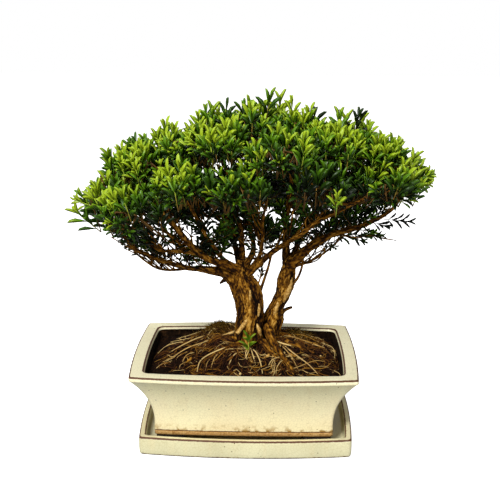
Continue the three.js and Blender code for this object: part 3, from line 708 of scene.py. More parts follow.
def tube(target, centres, radii, sides, bark=1.0, flutes=0.0, tone=0.5):
    """Rolls a grid into a tapering tube along its centres, with bark relief."""
    bm = new_bmesh(*BARK_VALUES)
    ridge, shade = (bm.verts.layers.float[value] for value in BARK_VALUES)
    rows = len(centres) - 1
    verts = bmesh.ops.create_grid(bm, x_segments=sides, y_segments=rows, size=1)["verts"]
    side = (centres[1] - centres[0]).orthogonal().normalized()
    frames, along = [], 0.0
    for i, centre in enumerate(centres):
        heading = (centres[min(i + 1, rows)] - centres[max(i - 1, 0)]).normalized()
        side = (side - heading * side.dot(heading)).normalized()
        along += (centre - centres[max(i - 1, 0)]).length
        frames.append((centre, side, heading.cross(side), radii[i], along))
    for vert in verts:
        turn = (vert.co.x + 1) * math.pi
        centre, across, up, radius, along = frames[round((vert.co.y + 1) / 2 * rows)]
        out = across * math.cos(turn) + up * math.sin(turn)
        spot = Vector((math.cos(turn) * radius, math.sin(turn) * radius, 0)) / BARK_PLATE[0]
        spot.z = along / BARK_PLATE[1]
        relief = bark_relief(spot + centres[0] / BARK_SHIFT)
        depth = min(max(BARK_DEPTH * radius, BARK_DEPTH_RANGE[0]), BARK_DEPTH_RANGE[1]) * bark
        lobe = math.cos(3 * turn + along / FLUTE_TWISTS[0])
        lobe += 0.7 * math.cos(5 * turn - along / FLUTE_TWISTS[1] + 1)
        vert.co = (centre + out * (radius * (1 + flutes * lobe) + depth * (relief - BARK_MIDDLE))) * MM
        vert[ridge] = relief + (FLUTE_SHADE * lobe if flutes > FLUTED else 0.0)
        vert[shade] = tone
    bmesh.ops.remove_doubles(bm, verts=bm.verts, dist=1e-7)
    bmesh.ops.holes_fill(bm, edges=[e for e in bm.edges if e.is_boundary], sides=0)
    data = to_mesh(bm, "tube")
    target.from_mesh(data)
    bpy.data.meshes.remove(data)


print("bark plates, mm:", BARK_PLATE)

# %% [markdown]
# ## Trunks, limbs and roots
# Each limb is a list of places, from its foot to its tip, and of its radii on the way. They could be grown
# by a rule, but this tree is one tree, so its limbs are read off and kept as lists, the same that the plain
# wood was made from. Only the twigs follow a rule: every spray of leaves hangs on a twig from the nearest
# wood below it.

# %% Trunk and limb lists
TRUNKS = {
    "left": ([(9, 5, 64), (6, 2, 93), (4, 0, 110), (5, 0, 133), (4, 0, 147), (1, 0, 160), (-5, 0, 177),
              (-6, 0, 188), (-7, 0, 196)], [17, 20, 17, 15.2, 15.6, 15.2, 14.6, 10, 3]),
    "right": ([(19, 9, 64), (24, 10, 90), (28, 10, 106), (31, 10, 125), (34, 10, 138), (40, 10, 152),
               (45, 10, 174), (48, 10, 192), (50, 10, 200)], [13, 13, 11.5, 10, 12, 8, 8.6, 10.2, 7.5, 2.5]),
}
LIMBS = {
    "low left": ([(-4, -2, 182), (-22, -8, 191), (-42, -13, 200), (-56, -19, 212), (-73, -32, 237),
                  (-93, -50, 266), (-102, -60, 284)], [6, 4.2, 3.8, 3.2, 2.4, 1.8]),
    "left fork": ([(-48, -15, 205), (-75, -14, 208), (-93, -8, 207), (-108, 0, 214), (-120, 12, 232)],
                  [2.4, 2, 1.6, 1.3]),
    "dark left": ([(-6, 4, 183), (-37, 10, 181), (-64, 15, 181), (-79, 20, 183), (-104, 24, 190),
                   (-128, 27, 201), (-146, 30, 224)], [5, 3.2, 2.8, 2.4, 1.8]),
    "thin low left": ([(-62, 15, 181), (-88, 38, 172), (-104, 53, 170), (-117, 64, 174), (-132, 72, 184),
                       (-150, 76, 206)], [1.8, 1.3, 1.2, 1.1]),
    "left riser": ([(-5, -3, 186), (-23, -9, 197), (-35, -17, 215), (-44, -28, 232), (-53, -44, 255),
                    (-64, -60, 280)], [3, 2, 1.7, 1.3]),
    "dark riser": ([(-3, 3, 186), (-5, 8, 210), (-7, 13, 232), (-14, 24, 243), (-32, 38, 252),
                    (-53, 54, 257), (-72, 66, 272)], [4, 3, 2.4, 2, 1.5]),
    "inner riser": ([(-1, 2, 186), (8, 7, 205), (6, 13, 221), (3, 18, 245), (-2, 12, 290), (2, 6, 330)],
                    [4, 2.4, 2, 1.8, 1.4]),
    "front riser": ([(4, -3, 184), (15, -10, 203), (18, -20, 226), (18, -32, 246), (22, -58, 272)],
                    [3, 2, 1.6, 1.3]),
    "crossing": ([(2, -3, 180), (28, -9, 206), (44, -17, 219), (60, -26, 232), (75, -37, 247),
                  (98, -49, 262), (122, -62, 278)], [5, 3.2, 2.8, 2.5, 1.8, 1.4]),
    "low right": ([(47, 9, 186), (67, 4, 207), (88, -1, 223), (108, -7, 231), (128, -11, 239),
                   (154, -17, 256), (166, -20, 274)], [8, 5.4, 4.2, 3.4, 2.8, 2, 1.6]),
    "right riser": ([(46, 12, 186), (44, 25, 206), (44, 35, 226), (48, 26, 270), (50, 12, 325)],
                    [6, 3.4, 2.8, 2.2, 1.6]),
    "thin right": ([(50, 11, 184), (73, 28, 188), (88, 43, 193), (104, 60, 203), (124, 70, 232)],
                   [1.9, 1.4, 1.3, 1.1]),
    "right leader": ([(75, -37, 247), (96, -30, 280), (112, -14, 318)], [2.2, 1.8, 1.4]),
    "left leader": ([(-79, -39, 244), (-88, -24, 280), (-98, -6, 305)], [2.2, 1.8, 1.4]),
    "back left": ([(-5, 6, 182), (-14, 36, 206), (-24, 66, 232), (-30, 88, 262)], [5, 3, 2.4, 1.8]),
    "back right": ([(48, 14, 184), (60, 42, 208), (76, 68, 232), (86, 84, 264)], [5, 3, 2.4, 1.8]),
}
print("limbs:", len(LIMBS))

# %% Lists of stubs, bare wood and free twigs
# Short wood round the trunks: its places, its radii, and its tone from 0, dark, to 1.5, bare wood.
STUBS = {
    "knob": ([(-20, 2, 173), (-25, 0, 171), (-29, -1, 168)], [3, 2.4, 1], 0.1),
    "broken twig": ([(41, 10, 132), (45, 6, 137), (51, 1, 141)], [2.4, 2, 1.7], 0.1),
    "thick root": ([(24, 2, 118), (30, -16, 108), (38, -34, 101), (48, -54, 94), (54, -64, 87)],
                   [6, 5, 3.8, 2.6, 1.8], 0.9),
    "limb's collar": ([(-52, 6, 183), (-36, 5, 181), (-22, 3, 179), (-12, 1, 169), (-6, 0, 155),
                       (-3, 0, 138)], [3.6, 5, 6.6, 7.8, 8.6, 7.6], 0.6),
}
# Wood that has lost its bark: a cut stub at the foot, a strip on the right trunk, and chips.
BARE_WOOD = [
    ([(7, -12, 137), (-1, -17, 127), (-9, -21, 117)], [1.8, 2.2, 2.4]),
    ([(42, 4, 146), (45, 2.6, 155), (49, 3.2, 165), (51, 6, 174)], [1.2, 3.2, 2.8, 1]),
    ([(31, 0.8, 131), (34, 0, 139), (36, 2.6, 147)], [1, 2.4, 1]),
    ([(17, -12, 112), (15, -13.6, 119), (13, -13.5, 126)], [1, 2.6, 1]),
    ([(14, -12.4, 134), (15, -13, 141), (15, -13, 149)], [0.8, 1.8, 0.8]),
    ([(4, -14.6, 150), (5, -14.8, 158), (5, -14.6, 165)], [0.8, 1.5, 0.8]),
    ([(22, -4, 104), (27, -8, 100), (33, -12, 97)], [1.4, 2, 1.2]),
]
# Thin bare twigs that stand free beside the trunks and under the crown, like the stubs.
FREE_TWIGS = [
    ([(16, 0, 160), (21, -1, 176), (25, -2, 190), (28, -2, 204)], [2, 1.7, 1.5, 1.4], 0.6),
    ([(12, -2, 164), (16, -3, 176), (19, -3, 188)], [1, 0.9, 0.7], 0.4),
    ([(46, 5, 160), (56, 4, 172), (61, 4, 184), (63, 4, 198)], [1.7, 1.5, 1.4, 1.3], 0.6),
    ([(96, -4, 229), (116, -8, 224), (135, -8, 226), (150, -8, 223), (163, -8, 221)],
     [1.2, 1, 0.9, 0.8, 0.5], 0.5),
    ([(-112, -10, 204), (-128, -14, 212), (-146, -12, 222)], [1, 0.8, 0.6], 0.4),
]
print("stubs, bare places and free twigs:", len(STUBS), len(BARE_WOOD), len(FREE_TWIGS))

# %% Roots on the mound
ROOT_COUNT, ROOT_SEED = 8, 31
ROOT_CENTRE, ROOT_START, ROOT_START_HEIGHT = (12.0, 4.0), 12.0, 101.0
ROOT_RADII = [6.5, 3.6, 2.4, 1.6]
ROOT_REACH, ROOT_WANDER, ROOT_BENDS = (74.0, 54.0), 7.0, 4.0
ROOT_PLACES, ROOT_SUNK = (0.42, 0.7, 1.0), (0.4, 0.2, 3.5)


def make_random(seed):
    """The same small random generator as the plain solid's, so that the roots agree."""
    state = seed

    def draw():
        nonlocal state
        state = (state + 0x6D2B79F5) & 0xFFFFFFFF
        t = ((state ^ (state >> 15)) * (1 | state)) & 0xFFFFFFFF
        t = ((t + (((t ^ (t >> 7)) * (61 | t)) & 0xFFFFFFFF)) & 0xFFFFFFFF) ^ t
        return ((t ^ (t >> 14)) & 0xFFFFFFFF) / 4294967296

    return draw


draw = make_random(ROOT_SEED)
main_roots = []
for i in range(ROOT_COUNT):
    angle = (i + 0.6 * draw()) / ROOT_COUNT * 2 * math.pi
    bend = (draw() - 0.5) * 2 * ROOT_WANDER
    length = 0.75 + 0.25 * draw()
    out = Vector((math.cos(angle), math.sin(angle)))
    path = [(*(Vector(ROOT_CENTRE) + out * ROOT_START), ROOT_START_HEIGHT)]
    for share, sunk in zip(ROOT_PLACES, ROOT_SUNK):
        t = share * length
        aside = bend * math.sin(t * ROOT_BENDS)
        x = ROOT_CENTRE[0] + math.cos(angle) * ROOT_REACH[0] * t - math.sin(angle) * aside
        y = ROOT_CENTRE[1] + math.sin(angle) * ROOT_REACH[1] * t + math.cos(angle) * aside
        path.append((x, y, soil_height(x, y) - sunk))
    main_roots.append(path)
print("roots on the mound:", len(main_roots))

# %% Wood
TRUNK_SIDES, TRUNK_SPACING, TRUNK_FLUTES, TRUNK_TONE = 110, 1.0, 0.075, 0.6
LIMB_SIDES, LIMB_SPACING, LIMB_FLUTES = 22, 1.6, 0.03
# Limbs in front take a lighter tone as painted light, limbs behind a darker one as painted shade from the
# crown.
LIT_FRONT_TONE, SHADED_BACK_TONE = 1.4, 0.7
ROOT_SIDES, ROOT_SPACING, ROOT_FLUTES, ROOT_TONE = 18, 1.6, 0.04, 0.7
TWIG_SIDES, TWIG_SPACING, TWIG_RADII = 7, 4.0, [1.9, 1.5, 1.2]
TWIG_SAG, TWIG_CLIMB, DROP_COST = 0.12, 12.0, 1.5
FINE_TWIGS, FINE_TWIG_LENGTH, FINE_TWIG_RADII, FINE_TWIG_KINK = 150, (25, 60), [1.0, 0.8, 0.6], 3
FINE_TWIG_START, FINE_TWIG_RISE, FINE_TWIG_SCATTER, FINE_TWIG_TONE = (0.12, 0.55), 0.9, 0.35, (0.4, 1.2)
FORK = Vector((20, 0, 200))
HUB_DROP = Vector((0, 0, 4))
WOOD_SEED = 17

SPRAYS = sorted(name for name in frame["nodes"] if name.startswith("leafy_spray"))
spray_boxes = {name: [Vector(corner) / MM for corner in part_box(name)] for name in SPRAYS}
hubs = {name: (low + high) / 2 - HUB_DROP for name, (low, high) in spray_boxes.items()}

wood, buds = new_bmesh(*BARK_VALUES), []
for path, radii in TRUNKS.values():
    tube(wood, *smooth_path(path, radii, TRUNK_SPACING), TRUNK_SIDES, flutes=TRUNK_FLUTES, tone=TRUNK_TONE)
for path, radii in LIMBS.values():
    centres, sizes = smooth_path(path, radii, LIMB_SPACING)
    in_front = sum(y for _, y, _ in path) < 0
    tube(wood, centres, sizes, LIMB_SIDES, flutes=LIMB_FLUTES, tone=LIT_FRONT_TONE if in_front else SHADED_BACK_TONE)
    buds += centres[len(centres) // 3 :: 3]
for path, radii, tone in STUBS.values():
    tube(wood, *smooth_path(path, radii, ROOT_SPACING), LIMB_SIDES, flutes=LIMB_FLUTES, tone=tone)
for path, radii, tone in FREE_TWIGS:
    tube(wood, *smooth_path(path, radii, TWIG_SPACING), TWIG_SIDES, tone=tone)
chance = random.Random(WOOD_SEED)
for _ in range(FINE_TWIGS):
    path, radii = list(LIMBS.values())[chance.randrange(len(LIMBS))]
    centres, _ = smooth_path(path, radii, TWIG_SPACING)
    start = centres[int(len(centres) * chance.uniform(*FINE_TWIG_START))]
    aside = Vector((chance.gauss(0, FINE_TWIG_SCATTER), chance.gauss(0, FINE_TWIG_SCATTER), FINE_TWIG_RISE))
    aim = (start - FORK).normalized() + aside
    end = start + aim.normalized() * chance.uniform(*FINE_TWIG_LENGTH)
    middle = start.lerp(end, 0.5) + Vector(chance.gauss(0, FINE_TWIG_KINK) for _ in range(3))
    centres, sizes = smooth_path([start, middle, end], FINE_TWIG_RADII, TWIG_SPACING)
    tube(wood, centres, sizes, TWIG_SIDES - 2, tone=chance.uniform(*FINE_TWIG_TONE))
for path in main_roots:
    tube(wood, *smooth_path(path, ROOT_RADII, ROOT_SPACING), ROOT_SIDES, flutes=ROOT_FLUTES, tone=ROOT_TONE)


def bud_for(hub):
    """The nearest wood to a spray's hub, best where it lies lower than the hub."""
    return min(buds, key=lambda b: (b - hub).length + DROP_COST * max(0, b.z - hub.z + TWIG_CLIMB))


for hub in sorted(hubs.values(), key=lambda h: (h - FORK).length):
    start = bud_for(hub)
    middle = start.lerp(hub, 0.5) - Vector((0, 0, TWIG_SAG * (start - hub).length))
    centres, sizes = smooth_path([start, middle, hub], TWIG_RADII, TWIG_SPACING)
    tube(wood, centres, sizes, TWIG_SIDES)
    buds += centres[len(centres) // 3 : -1]
print("twigs to sprays:", len(hubs))

# %% [markdown]
# ## Bark and bare wood
# Old boxwood bark is tan and flakes off in small plates over dark brown grooves. The relief is already in
# the mesh, so the material colours each point by its height there, and mixes two colour scales by the wood's
# tone: weathered bark on the limbs in front, whose high tone is painted light, and painted shade, nearly
# black, on the wood behind in the crown's shade.

# %% Wood finishes
# The bark's weathered colours, and a nearly black scale that paints shade where the tone is low.
WEATHERED = [(0.05, "#0b0401"), (0.3, "#2b1402"), (0.5, "#5b3705"), (0.75, "#875b16"), (1.0, "#b78a3b")]
SHADED = [(0.1, "#070301"), (0.5, "#1e1005"), (0.8, "#3d240a"), (1.0, "#5f3d12")]
PATCH, FIBRE = 11, 1.4


def make_bark():
    """Old boxwood bark: tan flaking plates over dark brown grooves, dull and dry."""
    material, tree, shader, place = start_material(
        "flaky_boxwood_bark", Roughness=0.9, Specular_IOR_Level=0.1
    )
    ridge, shade = (add_node(tree, "Attribute", {"attribute_name": v}).outputs["Fac"] for v in BARK_VALUES)
    patch, fibre = (
        add_node(tree, "TexNoise", {"Scale": 1 / (width * MM), "Detail": 3.0}, {"Vector": place})
        for width in (PATCH, FIBRE)
    )
    depth = add_node(tree, "Math", {"operation": "MULTIPLY_ADD", 1: 0.5}, {0: fibre, 2: ridge})
    level = add_node(tree, "MapRange", {"From Min": 0.42, "From Max": 1.25}, {"Value": depth})
    patches = add_node(tree, "MapRange", {"From Min": 0.3, "From Max": 0.6}, {"Value": patch})
    lighter = {"operation": "MULTIPLY_ADD", "use_clamp": True, 1: 0.45}
    mixed = {
        "A": add_node(tree, "ValToRGB", {"stops": SHADED}, {"Fac": level}),
        "B": add_node(tree, "ValToRGB", {"stops": WEATHERED}, {"Fac": level}),
        "Factor": add_node(tree, "Math", lighter, {0: patches, 2: shade}),
    }
    join(tree, add_node(tree, "Mix", {"data_type": "RGBA"}, mixed), shader.inputs["Base Color"])
    bump = add_node(tree, "Bump", {"Strength": 0.7, "Distance": 0.5 * MM}, {"Height": fibre})
    join(tree, bump, shader.inputs["Normal"])
    return material


finish_piece(wood, "trunks_limbs_and_roots", [make_bark()], ["tree_wood"])

# Boxwood without its bark: pale straw, fine fibres, dull from the weather.
bare_boxwood = grain_material(
    "bare_boxwood", [(0.3, "#765020"), (0.5, "#a87f3a"), (0.7, "#cfae6c")],
    grain=2, detail=3.0, Roughness=0.7, Specular_IOR_Level=0.2,
)
bare = new_bmesh(*BARK_VALUES)
for path, radii in BARE_WOOD:
    tube(bare, *smooth_path(path, radii, ROOT_SPACING), LIMB_SIDES, bark=0.5)
finish_piece(bare, "bare_wood", [bare_boxwood])

# %% [markdown]
# ## A leaf and a shoot
# A boxwood leaf here is mostly 14 to 22 mm long, broadest past its middle and blunt at the tip,
# and it folds a little along its midrib. A flat card would look thin from the side, so a small
# sphere with few faces is reshaped into a leaf. Leaves sit in opposite pairs, each pair turned a
# quarter from the last. Eight different shoots are made, and the crown is built from copies.

# %% Leaf
# Each ring of the sphere, by its height: how far along the leaf it lies, and the leaf's width.
LEAF_RINGS = {-1.0: (0.0, 0.0), -0.7: (0.3, 0.5), 0.0: (0.64, 1.0), 0.7: (0.9, 0.72), 1.0: (1.0, 0.0)}
LEAF_FOLD, LEAF_CURL, LEAF_THICKNESS = 0.16, 0.1, 0.03
LEAF_YOUTH = (0.35, 0.3)


def make_leaf():
    """One blade a millimetre long and wide, along +Z, with its upper side towards -Y."""
    bm = new_bmesh("young")
    young = bm.verts.layers.float["young"]
    bmesh.ops.create_uvsphere(bm, u_segments=4, v_segments=4, radius=1)
    for vert in bm.verts:
        along, width = LEAF_RINGS[min(LEAF_RINGS, key=lambda z: abs(z - vert.co.z))]
        around = math.hypot(vert.co.x, vert.co.y)
        x = vert.co.x / around * width * 0.5 if around > 0.01 else 0.0
        y = vert.co.y / around if around > 0.01 else 0.0
        fold = -abs(x) * 2 * LEAF_FOLD
        vert.co = Vector((x, y * LEAF_THICKNESS * width + fold + LEAF_CURL * along**2, along))
        vert[young] = LEAF_YOUTH[0] + LEAF_YOUTH[1] * along
    bmesh.ops.recalc_face_normals(bm, faces=bm.faces)
    return to_mesh(bm, "leaf")


def add_copy(bm, data, matrix, start=0.0, by=1.0, value="young"):
    """Adds a moved copy of a mesh to a bmesh, with its values shifted and scaled."""
    copy = data.copy()
    copy.transform(matrix)
    values = np.empty(len(copy.vertices), dtype=np.float32)
    copy.attributes[value].data.foreach_get("value", values)
    copy.attributes[value].data.foreach_set("value", start + by * values)
    bm.from_mesh(copy)
    bpy.data.meshes.remove(copy)


leaf = make_leaf()
print("triangles in a leaf:", sum(len(p.vertices) - 2 for p in leaf.polygons))

# %% Shoots
LEAF_LENGTH, LEAF_WIDTH = (16.0, 19.5), (3.5, 4.4)
SHOOT_KINDS, SHOOT_LENGTH, PAIR_GAP, LEAFY_PART = 8, (19.0, 38.0), 4.9, 0.86
STEM_RADIUS, STEM_BEND = (0.7, 0.4), 2.5
SPREAD_LOW, SPREAD_TIP = math.radians(46), math.radians(17)
TURN_CHANCE, SPREAD_CHANCE, TWIST_CHANCE, YOUTH_CHANCE = 0.2, 0.14, 0.35, 0.06
STEM_YOUTH, PAIR_YOUTH = (0.2, 0.5), (-0.2, 0.55)
STEM = 1


def make_shoot(number):
    """A stem along +Z with its pairs of leaves; the youngest, at the tip, stand upright."""
    chance = random.Random(number)
    bm = new_bmesh("young")
    young = bm.verts.layers.float["young"]
    length = chance.uniform(*SHOOT_LENGTH)
    bend = Vector((chance.uniform(-1, 1), chance.uniform(-1, 1), 0)) * STEM_BEND

    def on_stem(t):
        return Vector((0, 0, length * t)) + bend * t * t

    foot, tip = STEM_RADIUS
    stem = bmesh.ops.create_cone(bm, cap_ends=True, segments=3, radius1=foot, radius2=tip, depth=length)
    for vert in stem["verts"]:
        t = vert.co.z / length + 0.5
        vert.co = on_stem(t) + Vector((vert.co.x, vert.co.y, 0))
        vert[young] = STEM_YOUTH[0] + STEM_YOUTH[1] * t
    for face in bm.faces:
        face.material_index = STEM
    pairs = int(length * LEAFY_PART / PAIR_GAP)
    turn = chance.uniform(0, math.pi)
    for pair in range(pairs + 1):
        t = 1 - (pairs - pair) * PAIR_GAP / length
        age = pair / pairs
        turn += math.pi / 2 + chance.uniform(-TURN_CHANCE, TURN_CHANCE)
        for half in (0, math.pi):
            spread = SPREAD_LOW + (SPREAD_TIP - SPREAD_LOW) * age**1.3
            spread += chance.uniform(-SPREAD_CHANCE, SPREAD_CHANCE)
            grown = 0.8 + 0.2 * math.sin(math.pi * min(1, 0.2 + age * 0.75))
            size = chance.uniform(*LEAF_LENGTH) * grown
            width = chance.uniform(*LEAF_WIDTH) * size / LEAF_LENGTH[1]
            matrix = (
                Matrix.Translation(on_stem(t))
                @ Matrix.Rotation(turn + half, 4, "Z")
                @ Matrix.Rotation(-spread, 4, "X")
                @ Matrix.Rotation(chance.uniform(-TWIST_CHANCE, TWIST_CHANCE), 4, "Z")
                @ Matrix.Diagonal((width, size, size, 1))
            )
            youth = PAIR_YOUTH[0] + PAIR_YOUTH[1] * age + chance.uniform(-YOUTH_CHANCE, YOUTH_CHANCE)
            add_copy(bm, leaf, matrix, start=youth)
    return to_mesh(bm, f"shoot_{number}"), length


shoots = [make_shoot(number) for number in range(SHOOT_KINDS)]
print("triangles in each shoot:", [sum(len(p.vertices) - 2 for p in s.polygons) for s, _ in shoots])

# %% [markdown]
# ## Leaf and stem finish
# A boxwood leaf has a waxy skin: a soft satin gloss over deep green. New growth is a bright yellow green.
# Each point carries one value from 0 to 1, its youth with painted light and shade from its place in the
# crown, so one material gives all of them.

# %% Leaf and stem materials
# Waxy boxwood leaf: satin, nearly black where shade is painted, yellow green where it is young or painted as
# lit.
leaf_skin = grain_material(
    "waxy_boxwood_leaf",
    [(0.05, "#060f02"), (0.3, "#152604"), (0.55, "#2d4c06"), (0.8, "#527a08"), (1.0, "#8fa61c")],
    grain=9, value="young", share=0.3, Roughness=0.42, Specular_IOR_Level=0.25,
)
# Young boxwood stem: green at the tip, ageing to brown, with a dry skin.
green_stem = grain_material(
    "green_boxwood_stem", [(0.1, "#4d3512"), (0.4, "#75561f"), (0.65, "#7f8426"), (0.9, "#94ac30")],
    grain=4, value="young", share=0.3, Roughness=0.7, Specular_IOR_Level=0.2,
)
FOLIAGE = [leaf_skin, green_stem]
print("foliage:", [material.name for material in FOLIAGE])

# %% [markdown]
# ## Sprays
# The crown is clipped, so each spray is a dense cushion of shoots that reach for the light. A
# scatter over a surface would be quicker, but the shoots have to end at the shears' line and
# leave the limbs in sight. So each shoot's tip is placed first, evenly round the spray's own box
# by a golden angle, and the shoot then grows back from its tip. A spray reaches further
# sideways, where it meets its neighbours, than outwards. Shoots deep inside a neighbour are left
# out, and low ones lean out from the hub, so that no stem hangs under the crown.

# %% The crown's outline
# The shears' line over the crown, and its underside, seen from the front: x, height.
CROWN_TOP = [
    (-193, 262), (-184, 270), (-168, 274), (-159, 282), (-150, 318), (-124, 330), (-112, 330),
    (-102, 318), (-92, 338), (-76, 342), (-67, 326), (-58, 352), (-43, 360), (-20, 366), (0, 367),
    (25, 376), (37, 374), (55, 362), (77, 350), (99, 358), (112, 348), (122, 354), (133, 350),
    (146, 324), (170, 325), (184, 312), (203, 292), (208, 270),
]
CROWN_UNDER = [
    (-193, 262), (-180, 252), (-170, 231), (-159, 216), (-138, 212), (-89, 203), (-34, 193),
    (17, 197), (43, 206), (83, 220), (124, 231), (178, 239), (195, 255), (208, 274),
]
CROWN_HEART, CROWN_SIZE = Vector((8, 0, 215)), Vector((200, 130, 125))
CROWN_PLAN, BACKWARD_SLOPE = (197.0, 150.0), 0.25
# Openings in the crown's front: x, height, half width, half height.
OPEN_PLACES = [(22, 272, 22, 20), (-32, 276, 16, 14), (92, 268, 16, 12), (52, 300, 10, 10)]
# Limbs that the grower keeps clear of shoots in front: x, height at both ends, and the width.
CLEARED = [
    ((-42, 200), (-93, 262), 8), ((60, 206), (125, 238), 8), ((-23, 197), (-42, 228), 5),
    ((28, 206), (75, 246), 5),
]
CLEARED_FRONT, POCKET_SIZE, POCKET_LEVEL = 10, 24.0, -0.16


def outward_of(place):
    """From the crown's heart to a place; its length is 1 at the crown's surface."""
    return Vector(a / b for a, b in zip(place - CROWN_HEART, CROWN_SIZE))


def over_underside(place):
    """How far a place lies over the crown's underside. The crown slopes a little to the back."""
    return place.z + BACKWARD_SLOPE * place.y - np.interp(place.x, *zip(*CROWN_UNDER))


def crowding(place, own=None):
    """How near a place is to another spray's middle, as a share of that spray's size."""
    others = (corners for name, corners in spray_boxes.items() if name != own)
    return min(
        Vector(a / b for a, b in zip(place - (low + high) / 2, (high - low) / 2)).length
        for low, high in others
    )


def is_cleared(place):
    """True in front of a limb that is kept in sight, and in the crown's dark pockets."""
    if noise.noise(place / POCKET_SIZE) < POCKET_LEVEL:
        return True
    for x, z, half_x, half_z in OPEN_PLACES:
        if place.y < 0 and ((place.x - x) / half_x) ** 2 + ((place.z - z) / half_z) ** 2 < 1:
            return True
    spot = Vector((place.x, place.z))
    for start, end, width in CLEARED:
        nearest, share = geometry.intersect_point_line(spot, Vector(start), Vector(end))
        if place.y < CLEARED_FRONT and 0 < share < 1 and (nearest.xy - spot).length < width:
            return True
    return False


print("crown, mm across:", CROWN_TOP[-1][0] - CROWN_TOP[0][0])

# %% Light and shears
LIGHT_LEAST, LIGHT_BY_HEIGHT, LIGHT_AT_ENDS, LIGHT_FACING = 0.08, 0.58, 0.5, 0.14
SHADE_HEIGHT, SHADE_RISE = 205, 130
ENDS_MIDDLE, ENDS_REACH = 25, 192
DEEP, DEEP_WIDTH, DEEP_LIGHT = 0.72, 0.25, 0.35
SHEAR_RAGGEDNESS, LONGEST_CUT, LOWEST_TIP = (-16.0, 4.0), 22.0, 14.0
CLUMP_SIZE, CLUMP_RISE = (15.0, 150.0), 14.0


def light_at(place, ray):
    """How much light a shoot gets: most at the top and at the crown's two ends."""
    outward = outward_of(place)
    light = LIGHT_LEAST + LIGHT_BY_HEIGHT * (place.z - SHADE_HEIGHT) / SHADE_RISE
    light += LIGHT_AT_ENDS * ((place.x - ENDS_MIDDLE) / ENDS_REACH) ** 2
    light += LIGHT_FACING * ray.dot(outward.normalized())
    shallow = clamp((outward.length - DEEP) / DEEP_WIDTH)
    return clamp(light * (DEEP_LIGHT + (1 - DEEP_LIGHT) * shallow))


def clipped(tip, chance):
    """A tip lowered to the shears' line; nothing where it would hang below the crown."""
    level = tip.z + BACKWARD_SLOPE * tip.y
    clump = noise.noise(Vector((tip.x / CLUMP_SIZE[0], tip.y / CLUMP_SIZE[1], 0)))
    top = np.interp(tip.x, *zip(*CROWN_TOP)) + CLUMP_RISE * clump
    top += chance.uniform(*SHEAR_RAGGEDNESS)
    in_plan = ((tip.x - CROWN_HEART.x) / CROWN_PLAN[0]) ** 2 + (tip.y / CROWN_PLAN[1]) ** 2
    if level > top + LONGEST_CUT or over_underside(tip) < LOWEST_TIP or in_plan > 1:
        return None
    return tip - Vector((0, 0, max(0.0, level - top)))


print("light at the crown's top:", round(light_at(Vector((25, 0, 370)), Vector((0, 0, 1))), 2))

# %% Growing shoots and twigs
UPWARD = Vector((0, 0, 1))
TONE_SPREAD, SHADED_YOUTH = 0.2, 0.8


def standing(place, aim):
    """The matrix, in metres, that stands a form made along Z at a place, along its aim."""
    return Matrix.Scale(MM, 4) @ Matrix.Translation(place) @ aim.to_track_quat("Z", "Y").to_matrix().to_4x4()


def scatter(chance, amount):
    """A random vector, mostly shorter than twice the amount."""
    return Vector(chance.gauss(0, amount) for _ in range(3))


def add_twig(bm, foot, end, radii):
    """A thin straight twig from its foot to its end."""
    twig = bmesh.ops.create_cone(
        bm, cap_ends=True, segments=4, radius1=radii[0], radius2=radii[1], depth=(end - foot).length
    )["verts"]
    bmesh.ops.transform(bm, matrix=standing((foot + end) / 2, end - foot), verts=twig)
    for face in {f for v in twig for f in v.link_faces}:
        face.material_index = STEM


def grow_shoot(bm, kind, base, lean, size, light, chance):
    """Adds one shoot of a kind that stands at its base and leans one way."""
    matrix = standing(base, lean) @ Matrix.Rotation(chance.uniform(0, 2 * math.pi), 4, "Z")
    # The shoot's light is painted into its leaves: it shifts and scales their youth values, so shaded shoots
    # turn dark and lit ones light.
    young = light + chance.gauss(0, TONE_SPREAD)
    matrix = matrix @ Matrix.Scale(size, 4)
    add_copy(bm, shoots[kind][0], matrix, start=0.6 * (young - SHADED_YOUTH), by=0.4 + 0.6 * young)


print("shoots' lengths, mm:", [round(length, 1) for _, length in shoots])

# %% Sprays
SHOOTS_PER_SPRAY, GOLDEN_ANGLE, ANGLE_CHANCE, LOWEST_RAY = 42, 2.4, 0.3, -0.75
MEETING_REACH, CLIPPED_REACH, REACH_SPREAD = 1.28, 1.05, (0.74, 1.03)
CROWDED = 0.75
SIDEWAYS, SIDEWAYS_AT_ENDS, ALONG_RAY, LEAN_SCATTER = 0.35, 0.7, 0.15, 0.16
TIP_LEAF = 14.5
SHOOT_SIZE, SMALLEST_SHOOT = (0.95, 1.35), 0.8
LOWEST_FOOT, LOWEST_BASE, FLATTEST = 24.0, -2, 0.3
FORKS_PER_SPRAY, FORK_REACH, HIGHEST_FORK, FORK_FALL = 7, 0.42, 0.85, 1.3
TWIG_ENDS, FORK_ENDS, SHORTEST_TWIG = (0.8, 0.6), (1.1, 0.9), 2

shortest = min(range(SHOOT_KINDS), key=lambda kind: shoots[kind][1])


